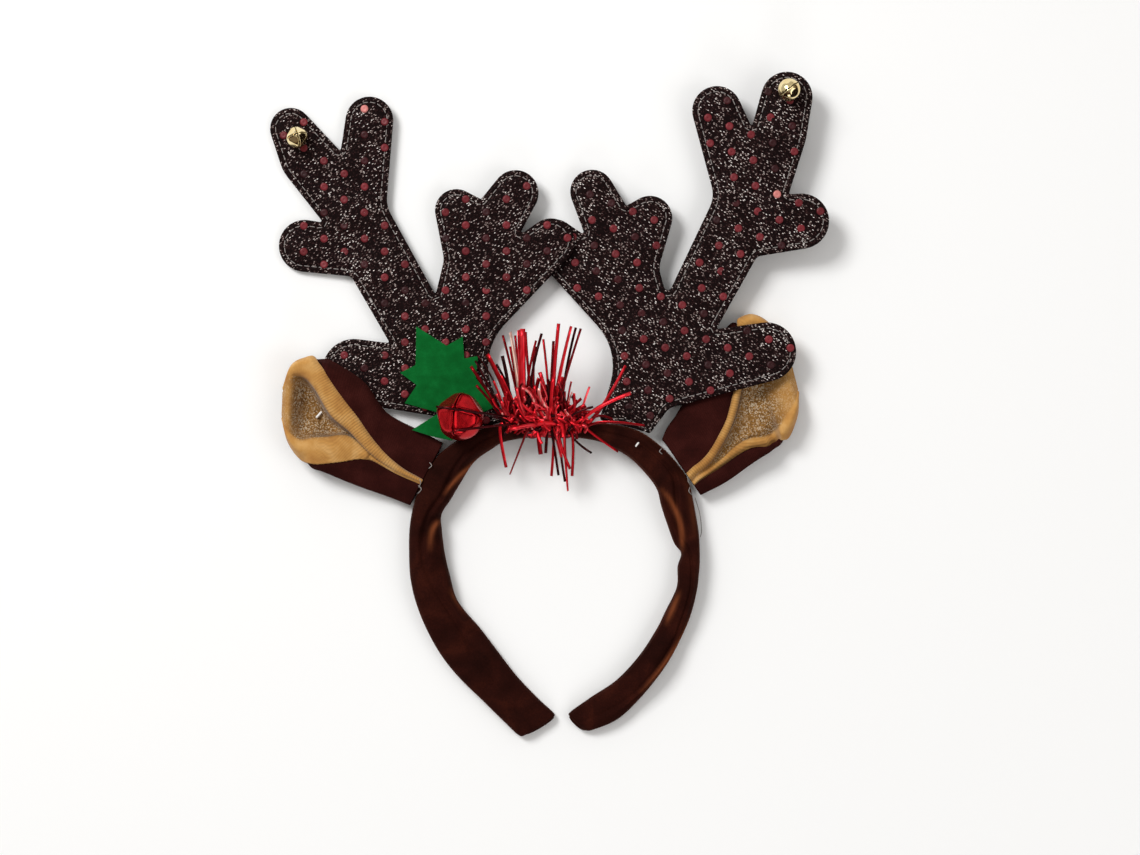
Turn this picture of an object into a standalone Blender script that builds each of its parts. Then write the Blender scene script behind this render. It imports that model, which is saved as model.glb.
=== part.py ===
"""Reindeer antler headband, lying flat on its back with its front facing +Z.

Metres, +Z up. X and Y run across and up the headband as it is seen from the front.
All tables and sizes below are in millimetres.
"""

import math

import bmesh
import bpy
import numpy as np
from mathutils import Matrix, Vector

MM = 0.001
GAP = 0.3  # clearance between pieces that touch in the real object

# Antlers: padded panels tilted so that their right sides stand higher
ANTLER_THICKNESS = 3.2
ANTLER_EDGE_THICKNESS = 1.6
ANTLER_EDGE_ROUNDING = 0.8
ANTLER_PADDING_INSET = 3.2
ARC_SAG = 0.12  # how far a side of a rounded tine lies inside the true arc
MOST_ARC_STEP = 45.0  # degrees
LEFT_ANTLER_PIVOT = (-27.4, -10.0, 6.2)
RIGHT_ANTLER_PIVOT = (31.5, -8.0, 6.5)
LEFT_ANTLER_TILT = 3.1  # degrees
RIGHT_ANTLER_TILT = 4.5

# The outline is a string drawn round a row of discs, clockwise from the outer tine.
# A disc with a positive radius is a rounded tine inside the string. One with a
# negative radius is a notch or hollow, and the string passes it on the other side.
DISC_COLUMNS = ("x", "y", "radius")
LEFT_ANTLER_DISCS = [
    (-105.1, 113.0, 8.5),  # outer tine, with a gold bell
    (-85.0, 104.9, -0.6),  # notch
    (-72.8, 116.1, 9.8),  # upper tine
    (-53.4, 84.0, -12.2),  # waist
    (-45.9, 46.4, -0.6),  # notch
    (-52.6, 59.6, -10.2),  # hollow of the inner branch
    (-37.2, 79.3, 8.7),  # inner branch
    (-27.2, 84.6, -0.6),  # notch
    (-13.0, 86.2, 9.4),  # third tine
    (-10.0, 70.7, -0.6),  # notch
    (1.4, 66.3, 9.6),  # crossing tine
    (0.2, 15.9, -24.4),  # stem, inner side
    (-18.4, -5.6, 1.2),  # base, inner corner
    (-13.5, -50.8, -43.6),  # base, over the hoop
    (-38.0, -12.3, 1.2),  # base, outer corner
    (-46.6, -10.6, -6.1),  # stem, outer side
    (-79.1, 14.0, 13.0),  # lowest lobe
    (-65.5, 26.0, -0.6),  # notch
    (-82.2, 49.4, -3.3),  # beam meets side lobe
    (-99.4, 65.1, 10.6),  # side lobe
    (-93.1, 75.4, -0.6),  # notch
    (-93.3, 103.7, 16.8),  # swell of the outer edge
]
RIGHT_ANTLER_DISCS = [
    (68.9, 119.5, 10.0),  # upper tine
    (82.9, 114.3, -0.6),  # notch
    (97.2, 124.6, 10.4),  # outer tine, with a gold bell
    (88.8, 111.0, 16.5),  # swell of the outer edge
    (98.8, 86.0, -0.6),  # notch
    (103.1, 74.4, 11.2),  # side lobe
    (87.3, 57.2, -3.3),  # beam meets side lobe
    (69.7, 31.5, -0.6),  # notch
    (89.0, 21.5, 12.0),  # lowest lobe
    (52.9, -6.2, -5.7),  # stem, outer side
    (41.3, -10.2, 1.2),  # base, outer corner
    (19.9, -52.8, -45.9),  # base, over the hoop
    (22.6, -5.2, 1.2),  # base, inner corner
    (2.2, 15.9, -24.4),  # stem, inner side
    (2.4, 66.3, 9.6),  # crossing tine
    (14.0, 70.7, -0.6),  # notch
    (18.1, 87.0, 8.9),  # third tine
    (32.3, 81.9, -0.6),  # notch
    (41.7, 76.0, 9.1),  # inner branch
    (56.1, 55.7, -10.4),  # hollow of the inner branch
    (49.0, 48.4, -1.6),  # notch
    (55.0, 85.6, -12.2),  # waist
]

# Hoop: a section a row, from the tip of the left arm over the top to the right tip
HOOP_COLUMNS = ("outer_x", "outer_y", "inner_x", "inner_y", "depth", "crease_at", "crease")
HOOP_SECTIONS = [
    (-8.6, -134.6, 2.6, -127.6, 4.0, 0.2, 0.03),
    (-11.6, -135.0, 2.4, -125.8, 5.2, 0.2, 0.05),
    (-17.8, -129.3, -4.3, -119.5, 6.0, 0.2, 0.05),
    (-26.4, -120.8, -12.8, -110.5, 6.5, 0.1, 0.06),
    (-36.0, -111.4, -21.3, -99.4, 7.0, 0.0, 0.08),
    (-43.5, -102.1, -28.3, -90.3, 7.0, -0.3, 0.12),
    (-49.4, -91.5, -34.0, -83.8, 8.0, -0.4, 0.14),
    (-53.5, -81.3, -37.6, -78.1, 8.5, -0.3, 0.12),
    (-55.9, -71.2, -39.8, -69.9, 9.0, 0.0, 0.08),
    (-56.5, -61.0, -41.9, -61.0, 9.5, 0.2, 0.10),
    (-56.3, -50.4, -43.1, -51.6, 10.0, 0.1, 0.16),
    (-54.7, -41.1, -43.3, -44.7, 10.5, -0.2, 0.14),
    (-51.4, -31.7, -39.6, -38.6, 11.0, -0.4, 0.12),
    (-46.1, -22.4, -35.0, -30.9, 12.0, -0.3, 0.12),
    (-40.1, -16.7, -29.9, -23.2, 12.5, -0.2, 0.10),
    (-31.5, -11.4, -23.0, -18.1, 13.0, 0.0, 0.06),
    (-17.3, -7.7, -16.1, -14.6, 13.5, 0.0, 0.04),
    (2.2, -6.5, 1.0, -12.6, 13.5, 0.0, 0.03),
    (20.9, -7.3, 18.1, -14.2, 13.5, 0.0, 0.04),
    (30.3, -8.5, 25.8, -17.1, 13.0, 0.1, 0.06),
    (38.8, -11.4, 33.5, -21.5, 12.5, 0.2, 0.08),
    (47.4, -17.9, 40.5, -28.5, 12.0, 0.3, 0.10),
    (53.9, -25.2, 44.7, -34.6, 11.5, 0.3, 0.14),
    (57.8, -32.1, 46.6, -41.9, 11.0, 0.0, 0.16),
    (61.2, -48.8, 51.4, -55.7, 10.0, -0.4, 0.14),
    (62.0, -57.3, 54.5, -60.4, 10.0, -0.2, 0.08),
    (62.0, -65.9, 53.1, -65.9, 10.0, 0.2, 0.08),
    (60.8, -76.4, 52.7, -74.4, 9.5, 0.3, 0.12),
    (57.5, -88.2, 48.2, -84.0, 9.0, 0.4, 0.12),
    (51.4, -101.2, 44.5, -91.5, 8.5, 0.5, 0.10),
    (45.3, -110.6, 37.6, -102.1, 8.0, 0.5, 0.10),
    (36.8, -120.8, 28.3, -112.2, 7.0, 0.4, 0.08),
    (28.3, -128.5, 18.1, -119.1, 6.5, 0.2, 0.05),
    (18.5, -132.7, 9.3, -125.4, 5.4, 0.0, 0.05),
    (15.0, -133.0, 8.9, -127.2, 4.0, 0.0, 0.03),
]
HOOP_STEPS_PER_ROW = 2

# Ears: a line across the ear a row, from the base on the hoop to the free tip.
# The four shares are measured along that line from its top end to its low end, and
# the heights are those of the rolled rim, the lower flap, the hollow's floor and the
# back of the shell near its top edge.
EAR_COLUMNS = ("top_x", "top_y", "low_x", "low_y", "rim_from", "rim_to", "flap_from", "flap_to", "rim", "flap", "floor", "lift")
LEFT_EAR_LINES = [
    (-43.0, -15.9, -56.5, -40.3, 0.60, 0.70, 0.76, 0.82, 8.6, 8.4, 7.0, 1.2),
    (-52.2, -11.0, -66.1, -36.6, 0.56, 0.67, 0.73, 0.79, 9.4, 9.0, 7.4, 3.5),
    (-65.7, -3.5, -75.4, -33.3, 0.42, 0.59, 0.66, 0.72, 12.0, 10.6, 9.6, 6.0),
    (-74.2, 8.1, -84.8, -29.7, 0.32, 0.55, 0.66, 0.82, 14.0, 12.0, 6.6, 6.3),
    (-84.0, 15.2, -91.7, -26.8, 0.21, 0.47, 0.71, 0.92, 15.0, 12.6, 3.2, 6.3),
    (-92.7, 19.4, -96.2, -25.4, 0.05, 0.30, 0.77, 0.95, 15.0, 12.6, 3.4, 4.8),
    (-98.2, 18.8, -101.0, -21.1, 0.00, 0.18, 0.84, 1.00, 14.6, 12.4, 4.6, 3.8),
    (-103.5, 15.9, -105.5, -14.2, 0.00, 0.14, 0.88, 1.00, 14.0, 12.2, 12.4, 3.0),
    (-107.1, 7.3, -107.7, -6.1, 0.00, 0.14, 0.88, 1.00, 9.0, 8.6, 9.6, 3.0),
]
RIGHT_EAR_LINES = [
    (47.2, -14.4, 62.3, -36.4, 0.62, 0.72, 0.78, 0.84, 7.8, 8.6, 6.6, 0.9),
    (49.4, -9.4, 65.3, -35.0, 0.62, 0.71, 0.77, 0.83, 7.8, 9.4, 6.6, 0.9),
    (54.1, -2.4, 73.0, -30.9, 0.60, 0.69, 0.76, 0.83, 7.6, 10.2, 5.8, 0.9),
    (63.2, 16.3, 84.0, -23.2, 0.50, 0.60, 0.76, 0.88, 7.2, 11.2, 3.6, 0.9),
    (72.2, 29.7, 90.5, -19.1, 0.28, 0.46, 0.86, 0.96, 6.8, 11.6, 3.0, 0.9),
    (78.3, 35.0, 94.9, -16.3, 0.00, 0.26, 0.88, 0.97, 7.0, 11.4, 3.0, 0.9),
    (84.4, 36.4, 98.2, -12.6, 0.00, 0.17, 0.86, 1.00, 7.4, 11.0, 3.4, 0.9),
    (91.3, 31.7, 101.4, -4.1, 0.00, 0.14, 0.88, 1.00, 7.6, 10.0, 7.8, 0.9),
    (97.4, 22.4, 102.5, 2.8, 0.00, 0.14, 0.88, 1.00, 5.0, 6.0, 5.6, 0.9),
]
EAR_WALL = 1.2
EAR_BACK = 0.7  # height of the shell's back above the floor, at mid-wall
EAR_STEPS_PER_ROW = 2
SHELL_ROWS = 8  # the shell stops short of the last row, inside the lining's rolled end
NARROW_FLAP = 0.08  # below this share the lower flap's tan edge is folded out of sight
ROLLED_EDGE = 0.08  # below this share the shell turns back under the rolled lining

# Holly: a row per spine, with the spine's tip and the bottom of the notch after it
LEAF_COLUMNS = ("tip_x", "tip_y", "notch_x", "notch_y")
HOLLY_LEAF_SPINES = [
    (-53.4, 32.0, -41.0, 24.1),
    (-34.4, 27.8, -33.8, 18.9),
    (-28.2, 19.9, -29.1, 11.0),
    (-20.5, -0.5, -30.0, -4.6),
    (-41.5, -7.6, -45.4, -2.8),
    (-58.1, 0.7, -53.2, 8.1),
    (-60.0, 13.1, -53.7, 16.2),
]
SMALL_LEAF_SPINES = [
    (-55.2, -10.2, -45.8, -4.3),
    (-40.0, -1.0, -36.6, -5.0),
    (-32.0, -9.0, -35.6, -11.2),
    (-38.8, -14.5, -46.3, -13.0),
]
FELT = 1.2

# Bells
RED_BELL = {"x": -35.0, "y": -4.8, "radius": 9.6, "wall": 0.8, "slot": 1.3, "slots": 2}
LEFT_GOLD_BELL = {"x": -101.8, "y": 108.8, "radius": 4.4, "wall": 0.5, "slot": 0.8, "slots": 2}
RIGHT_GOLD_BELL = {"x": 97.4, "y": 126.9, "radius": 4.6, "wall": 0.5, "slot": 0.8, "slots": 1}
RED_BELL_LEAN = (-0.22, 0.385)  # how far the slots' centre leans across and up
LEFT_GOLD_LEAN = (0.11, 0.30)
RIGHT_GOLD_LEAN = (0.13, 0.18)
RED_SLOT_TURN = -9.0  # degrees of the first slot from +X
LEFT_SLOT_TURN = 16.5
RIGHT_SLOT_TURN = 36.5
SLOT_REACH = 0.3  # slots stop this share of the radius above the bell's middle

# Tinsel: a saddle over the top of the hoop, and strips from it to these tips
SADDLE_FROM_X = -13.5
SADDLE_TO_X = 18.5
SADDLE_WALL = 1.4
SADDLE_CLEARANCE = 0.45
SADDLE_SKIRT = 5.0  # height of its lower edges above the floor
STRIP_THICKNESS = 0.5
STRIP_BENDS = 3
STRIP_COLUMNS = ("tip_x", "tip_y", "tip_z", "width")
TINSEL_STRIPS = [
    (-18.1, 27.4, 18.0, 0.9),
    (-14.8, 28.9, 22.0, 0.9),
    (-11.2, 30.1, 19.0, 1.6),
    (-4.7, 25.8, 24.0, 0.9),
    (-2.0, 28.5, 20.0, 0.9),
    (4.5, 32.5, 23.0, 0.9),
    (9.4, 31.7, 19.0, 0.9),
    (13.5, 30.1, 22.0, 0.9),
    (-18.1, 19.5, 25.0, 0.9),
    (-24.6, 20.1, 19.0, 1.6),
    (-30.3, 15.2, 23.0, 0.9),
    (31.1, 15.2, 20.0, 0.9),
    (33.1, 4.5, 22.0, 0.9),
    (39.1, -8.1, 18.0, 0.9),
    (16.8, 7.0, 25.0, 0.9),
    (10.2, 4.9, 27.0, 0.9),
    (-17.0, -25.1, 15.0, 0.9),
    (-15.2, -28.1, 12.0, 0.9),
    (-2.2, -19.9, 17.0, 0.9),
    (1.4, -28.5, 12.0, 0.9),
    (4.3, -28.1, 15.0, 0.9),
    (7.5, -30.9, 11.0, 0.9),
    (8.3, -35.0, 13.0, 0.9),
    (17.7, -19.1, 16.0, 0.9),
    (28.3, -18.7, 17.0, 0.9),
    (-15.2, -9.8, 20.0, 2.0),
]

COLOURS = {
    "velvet": (0.034, 0.006, 0.004),
    "sequin_cloth": (0.016, 0.009, 0.010),
    "brown_knit": (0.028, 0.008, 0.007),
    "tan_rib": (0.62, 0.36, 0.13),
    "holly_felt": (0.005, 0.16, 0.03),
    "red_metal": (0.62, 0.012, 0.018),
    "gold_metal": (0.72, 0.46, 0.12),
    "red_foil": (0.55, 0.010, 0.014),
}


def clear_scene():
    for obj in list(bpy.data.objects):
        bpy.data.objects.remove(obj, do_unlink=True)


def new_collection(name, helper=False):
    collection = bpy.data.collections.new(name)
    collection.hide_render = helper
    bpy.context.scene.collection.children.link(collection)
    return collection


def material(name):
    found = bpy.data.materials.get(name)
    if found:
        return found
    made = bpy.data.materials.new(name)
    made.use_nodes = True
    shader = made.node_tree.nodes["Principled BSDF"]
    shader.inputs["Base Color"].default_value = (*COLOURS[name], 1.0)
    metal = name in ("red_metal", "gold_metal", "red_foil")
    shader.inputs["Metallic"].default_value = 1.0 if metal else 0.0
    shader.inputs["Roughness"].default_value = 0.3 if metal else 0.9
    return made


def row_table(columns, rows):
    """The rows as a dictionary of arrays, one for each named column."""
    return dict(zip(columns, np.array(rows, float).T))


def smooth_rows(rows, steps):
    """The rows with steps - 1 more between each pair, on a Catmull-Rom curve through them."""
    rows = np.array(rows, float)
    padded = np.vstack([2 * rows[0] - rows[1], rows, 2 * rows[-1] - rows[-2]])
    found = []
    for i in range(1, len(padded) - 2):
        before, start, end, after = padded[i - 1 : i + 3]
        for t in np.arange(steps) / steps:
            found.append(
                0.5
                * (
                    2 * start
                    + (end - before) * t
                    + (2 * before - 5 * start + 4 * end - after) * t**2
                    + (3 * start - before - 3 * end + after) * t**3
                )
            )
    found.append(rows[-1])
    return np.array(found)


def add_mesh(name, points, faces, where, slot=None):
    """A mesh object from points in millimetres, with its normals turned outward."""
    mesh = bpy.data.meshes.new(name)
    mesh.from_pydata([tuple(float(c) * MM for c in point) for point in points], [], faces)
    shape = bmesh.new()
    shape.from_mesh(mesh)
    bmesh.ops.recalc_face_normals(shape, faces=shape.faces)
    shape.to_mesh(mesh)
    shape.free()
    obj = bpy.data.objects.new(name, mesh)
    if slot:
        mesh.materials.append(material(slot))
    where.objects.link(obj)
    return obj


def lofted_solid(name, rings, where, slot):
    """A closed solid through rings of equally many points, with a cap on each end."""
    count = len(rings[0])
    points = np.vstack(rings)
    faces = []
    for ring in range(len(rings) - 1):
        for i in range(count):
            j = (i + 1) % count
            low, high = ring * count, (ring + 1) * count
            faces.append((low + i, low + j, high + j, high + i))
    faces.append(tuple(range(count)))
    last = (len(rings) - 1) * count
    faces.append(tuple(range(last + count - 1, last - 1, -1)))
    return add_mesh(name, points, faces, where, slot)


def string_round_discs(discs, inset):
    """The outline of a string drawn clockwise round the discs, moved inward by inset."""
    table = row_table(DISC_COLUMNS, discs)
    centres = np.column_stack([table["x"], table["y"]])
    radii = table["radius"]
    inside = np.where(radii > 0, np.maximum(radii - inset, 0.1), radii - inset)
    facing = []
    for i in range(len(radii)):
        j = (i + 1) % len(radii)
        across = centres[j] - centres[i]
        lean = math.asin((radii[j] - radii[i]) / np.linalg.norm(across))
        facing.append(math.atan2(across[1], across[0]) - math.pi / 2 + lean)
    outline = []
    for i in range(len(radii)):
        start, end = facing[i - 1], facing[i]
        if radii[i] > 0:
            sweep = -((start - end) % (2 * math.pi))
        else:
            sweep = (end - start) % (2 * math.pi)
        widest = 2 * math.acos(1 - ARC_SAG / max(abs(radii[i]), 1.0))
        widest = min(widest, math.radians(MOST_ARC_STEP))
        steps = max(1, math.ceil(abs(sweep) / widest))
        for angle in start + sweep * np.arange(steps + 1) / steps:
            normal = np.array([math.cos(angle), math.sin(angle)])
            outline.append(centres[i] - inside[i] * normal)
    return np.array(outline)


def antler(name, discs, pivot, tilt, where):
    """A padded panel, thin at its edge and thickest inside, tilted about its base."""
    half = ANTLER_THICKNESS / 2
    edge_half = ANTLER_EDGE_THICKNESS / 2
    between = edge_half + 0.6 * (half - edge_half)
    profile = [
        (ANTLER_PADDING_INSET, -half),
        (ANTLER_EDGE_ROUNDING, -between),
        (0.0, -edge_half),
        (0.0, edge_half),
        (ANTLER_EDGE_ROUNDING, between),
        (ANTLER_PADDING_INSET, half),
    ]
    rings = []
    for inset, height in profile:
        outline = string_round_discs(discs, inset) - np.array(pivot[:2])
        rings.append(np.column_stack([outline, np.full(len(outline), height)]))
    obj = lofted_solid(name, rings, where, "sequin_cloth")
    obj.location = Vector(pivot) * MM
    obj.rotation_euler = (0.0, -math.radians(tilt), 0.0)
    return obj


def antler_top(pivot, tilt, x):
    """The height of an antler's front face at x."""
    return pivot[2] + (x - pivot[0]) * math.tan(math.radians(tilt)) + ANTLER_THICKNESS / 2


def hoop_section(outer, inner, depth, crease_at, crease):
    """One ring of the hoop: flat below, rounded at the sides, creased on the front."""
    middle = (outer + inner) / 2
    half = (outer - inner) / 2
    shape = [
        (-0.80, 0.0),
        (0.80, 0.0),
        (0.97, 0.16),
        (1.00, 0.45),
        (0.90, 0.78),
        (0.66, 0.95),
        (crease_at + 0.26, 1.0),
        (crease_at, 1.0 - crease),
        (crease_at - 0.26, 1.0 - 0.3 * crease),
        (-0.74, 0.90),
        (-0.92, 0.74),
        (-1.00, 0.45),
        (-0.97, 0.16),
    ]
    return np.array([(*(middle + across * half), up * depth) for across, up in shape])


def headband(where):
    table = row_table(HOOP_COLUMNS, smooth_rows(HOOP_SECTIONS, HOOP_STEPS_PER_ROW))
    outer = np.column_stack([table["outer_x"], table["outer_y"]])
    inner = np.column_stack([table["inner_x"], table["inner_y"]])
    rings = []
    for i in range(len(outer)):
        rings.append(
            hoop_section(
                outer[i], inner[i], table["depth"][i], table["crease_at"][i], table["crease"][i]
            )
        )
    return lofted_solid("headband", rings, where, "velvet")


def lining_profile(row):
    """Share across the ear and height of the lining: seam, rim, hollow, flap, seam."""
    rolled = row["rim_from"] < 0.01
    start = 0.0 if rolled else row["rim_from"] + 0.03
    end = row["flap_to"] - 0.03
    rim, flap, floor = row["rim"], row["flap"], row["floor"]
    hollow = row["flap_from"] - row["rim_to"]
    crest = 0.4
    if row["flap_to"] - row["flap_from"] < NARROW_FLAP:
        flap = floor + 0.2
        crest = 0.0
    if row["flap_to"] > 0.99:
        end = 1.0
    return [
        (start, 0.66 * rim if rolled else rim - 0.3),
        ((start + row["rim_to"]) / 2, rim + (0.2 if rolled else 0.7)),
        (row["rim_to"], rim),
        (row["rim_to"] + 0.14 * hollow, 0.5 * (rim + floor)),
        (row["rim_to"] + 0.30 * hollow, floor + 0.12 * (rim - floor)),
        (row["rim_to"] + 0.50 * hollow, floor),
        (row["rim_to"] + 0.70 * hollow, floor + 0.12 * (flap - floor)),
        (row["rim_to"] + 0.86 * hollow, 0.5 * (flap + floor)),
        (row["flap_from"], flap),
        ((row["flap_from"] + end) / 2, flap + crest),
        (end, 0.66 * flap if end > 0.99 else flap - 0.75 * crest),
    ]


def shell_profile(row):
    """Share across the ear and height of the shell: upper flap, back, lower flap.

    Where the lining rolls over the edge, the shell turns back under it in a small U.
    """
    start = row["rim_from"] - 0.02
    end = min(row["flap_to"] + 0.02, 0.98)
    shoulder = min(row["rim"] - 3.2, 10.0)
    low_shoulder = min(row["flap"] - 3.2, 9.0)
    lift = row["lift"]
    tuck = 0.6 if end < 0.93 else 2.6
    if start > ROLLED_EDGE:
        front = row["rim"] - 0.4 if start > 0.15 else shoulder + 0.6
        edge = max(0.5 * shoulder, lift)
        upper = [(start, front), (0.55 * start + 0.02, front - 0.5), (0.025, shoulder), (0.0, edge)]
    else:
        upper = [(0.10, lift + 2.0), (0.06, lift + 2.0), (0.025, lift + 1.6), (0.01, lift + 0.8)]
    if row["flap_to"] > 0.99:
        lower = [
            (0.985, EAR_BACK + 0.8),
            (0.995, EAR_BACK + 1.6),
            (0.96, EAR_BACK + 2.1),
            (0.92, EAR_BACK + 2.1),
        ]
    else:
        lower = [
            (0.985, 0.35 * low_shoulder + 0.5),
            (0.995, low_shoulder),
            ((1 + end) / 2, row["flap"] - tuck - 0.2),
            (end, row["flap"] - tuck),
        ]
    back = [
        (0.05, lift),
        (0.34, lift),
        (0.46, EAR_BACK + 0.25 * (lift - EAR_BACK)),
        (0.60, EAR_BACK),
        (0.93, EAR_BACK),
    ]
    return upper + back + lower


def folded_cloth(name, lines, profile, where, slot):
    """A sheet across the lines of an ear, given its thickness by Solidify."""
    table = smooth_rows(lines, EAR_STEPS_PER_ROW) if EAR_STEPS_PER_ROW > 1 else np.array(lines)
    points = []
    for line in table:
        row = dict(zip(EAR_COLUMNS, line))
        top = np.array([row["top_x"], row["top_y"]])
        low = np.array([row["low_x"], row["low_y"]])
        for share, height in profile(row):
            points.append((*(top + share * (low - top)), height))
    across = len(profile(row))
    faces = []
    for i in range(len(table) - 1):
        for j in range(across - 1):
            a = i * across + j
            faces.append((a, a + 1, a + across + 1, a + across))
    obj = add_mesh(name, points, faces, where, slot)
    wall = obj.modifiers.new("cloth wall", "SOLIDIFY")
    wall.thickness = EAR_WALL * MM
    wall.offset = 0.0
    wall.use_even_offset = False
    return obj


def ears(where):
    for side, lines in (("left", LEFT_EAR_LINES), ("right", RIGHT_EAR_LINES)):
        folded_cloth(f"{side}_ear_shell", lines[:SHELL_ROWS], shell_profile, where, "brown_knit")
        folded_cloth(f"{side}_ear_lining", lines, lining_profile, where, "tan_rib")


def leaf_outline(spines):
    """Spine tips and the notches between them, joined by straight cuts."""
    table = row_table(LEAF_COLUMNS, spines)
    tips = np.column_stack([table["tip_x"], table["tip_y"]])
    notches = np.column_stack([table["notch_x"], table["notch_y"]])
    return np.hstack([tips, notches]).reshape(-1, 2)


def leaf(name, spines, pivot, tilt, where):
    outline = leaf_outline(spines) - np.array(pivot[:2])
    rings = [np.column_stack([outline, np.full(len(outline), z)]) for z in (0.0, FELT)]
    obj = lofted_solid(name, rings, where, "holly_felt")
    obj.location = Vector(pivot) * MM
    obj.rotation_euler = (0.0, -math.radians(tilt), 0.0)
    return obj


def holly(where):
    """Two felt leaves on the left antler's stem, the small one over the large one."""
    pivot_x, pivot_y = RED_BELL["x"], RED_BELL["y"]
    low = antler_top(LEFT_ANTLER_PIVOT, LEFT_ANTLER_TILT, pivot_x) + GAP
    leaf("holly_leaf", HOLLY_LEAF_SPINES, (pivot_x, pivot_y, low), LEFT_ANTLER_TILT, where)
    high = low + FELT + GAP
    leaf("small_holly_leaf", SMALL_LEAF_SPINES, (pivot_x, pivot_y, high), LEFT_ANTLER_TILT, where)
    return high + FELT


def sphere(name, radius, rings, where, slot=None):
    """A ball in millimetres about the origin, with its poles on Z."""
    shape = bmesh.new()
    bmesh.ops.create_uvsphere(shape, u_segments=2 * rings, v_segments=rings, radius=radius * MM)
    mesh = bpy.data.meshes.new(name)
    shape.to_mesh(mesh)
    shape.free()
    obj = bpy.data.objects.new(name, mesh)
    if slot:
        mesh.materials.append(material(slot))
    where.objects.link(obj)
    return obj


def box(name, size, centre, where):
    """A box in millimetres, with its scale already in its points."""
    shape = bmesh.new()
    bmesh.ops.create_cube(shape, size=1.0)
    scale = Matrix.Diagonal([side * MM for side in size]).to_4x4()
    bmesh.ops.transform(
        shape, matrix=Matrix.Translation(Vector(centre) * MM) @ scale, verts=shape.verts
    )
    mesh = bpy.data.meshes.new(name)
    shape.to_mesh(mesh)
    shape.free()
    obj = bpy.data.objects.new(name, mesh)
    where.objects.link(obj)
    return obj


def cut(obj, cutter):
    """Takes the cutter away from the object, and hides it."""
    step = obj.modifiers.new(cutter.name, "BOOLEAN")
    step.operation = "DIFFERENCE"
    step.solver = "EXACT"
    step.object = cutter
    cutter.hide_render = True
    cutter.display_type = "WIRE"
    cutter.parent = obj


def bell(name, size, height, lean, turn, rings, where, helpers, slot):
    """A hollow ball with one or two slots across the pole that faces the viewer."""
    radius = size["radius"]
    obj = sphere(name, radius, rings, where, slot)
    cut(obj, sphere(f"{name} hollow", radius - size["wall"], rings, helpers))
    low, high = SLOT_REACH * radius, 1.3 * radius
    for i in range(size["slots"]):
        sides = [2.4 * radius, size["slot"], high - low]
        if i == 1:
            sides[0], sides[1] = sides[1], sides[0]
        cut(obj, box(f"{name} slot {i + 1}", sides, (0.0, 0.0, (low + high) / 2), helpers))
    up = Vector((*lean, 1.0)).normalized()
    pole = Vector((0.0, 0.0, 1.0)).rotation_difference(up).to_matrix()
    spin = Matrix.Rotation(math.radians(turn), 3, "Z")
    obj.rotation_euler = (pole @ spin).to_euler()
    obj.location = Vector((size["x"], size["y"], height)) * MM
    return obj


def bells(leaf_top, where, helpers):
    red_height = leaf_top + GAP + RED_BELL["radius"]
    bell("red_bell", RED_BELL, red_height, RED_BELL_LEAN, RED_SLOT_TURN, 12, where, helpers, "red_metal")
    sides = (
        ("left_gold_bell", LEFT_GOLD_BELL, LEFT_ANTLER_PIVOT, LEFT_ANTLER_TILT, LEFT_GOLD_LEAN, LEFT_SLOT_TURN),
        ("right_gold_bell", RIGHT_GOLD_BELL, RIGHT_ANTLER_PIVOT, RIGHT_ANTLER_TILT, RIGHT_GOLD_LEAN, RIGHT_SLOT_TURN),
    )
    for name, size, pivot, tilt, lean, turn in sides:
        height = antler_top(pivot, tilt, size["x"]) + GAP + size["radius"]
        bell(name, size, height, lean, turn, 8, where, helpers, "gold_metal")


def saddle_rings():
    """Sections of the tinsel's saddle: a channel over the front and sides of the hoop."""
    table = row_table(HOOP_COLUMNS, smooth_rows(HOOP_SECTIONS, 8))
    middle_x = (table["outer_x"] + table["inner_x"]) / 2
    inside = (middle_x > SADDLE_FROM_X) & (middle_x < SADDLE_TO_X) & (table["outer_y"] > -9.0)
    rings = []
    for i in np.flatnonzero(inside)[::2]:
        outer = np.array([table["outer_x"][i], table["outer_y"][i]])
        inner = np.array([table["inner_x"][i], table["inner_y"][i]])
        middle, half = (outer + inner) / 2, np.linalg.norm(outer - inner) / 2
        out = (outer - inner) / (2 * half)
        near = half + SADDLE_CLEARANCE
        far = near + SADDLE_WALL
        top = table["depth"][i] + SADDLE_CLEARANCE
        section = [
            (-far, SADDLE_SKIRT),
            (-near, SADDLE_SKIRT),
            (-near, top),
            (near, top),
            (near, SADDLE_SKIRT),
            (far, SADDLE_SKIRT),
            (far, top + 0.2 * SADDLE_WALL),
            (0.7 * far, top + SADDLE_WALL),
            (-0.7 * far, top + SADDLE_WALL),
            (-far, top + 0.2 * SADDLE_WALL),
        ]
        rings.append(np.array([(*(middle + across * out), up) for across, up in section]))
    return rings, top + 0.5 * SADDLE_WALL


def strip_rings(tip, width, root):
    """Sections of one foil strip, from its root in the saddle out to its tip."""
    tip, root = np.array(tip), np.array(root)
    along = tip - root
    side = np.array([-along[1], along[0], 0.0])
    side = side / np.linalg.norm(side) * width / 2
    thick = np.array([0.0, 0.0, STRIP_THICKNESS / 2])
    rings = []
    for share in np.linspace(0.0, 1.0, STRIP_BENDS + 1):
        centre = root + along * share
        centre[2] = root[2] + along[2] * share**1.6 + 0.8 * math.sin(math.pi * share)
        corners = (-side - thick, side - thick, side + thick, -side + thick)
        rings.append(np.array([centre + corner for corner in corners]))
    return rings


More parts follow.
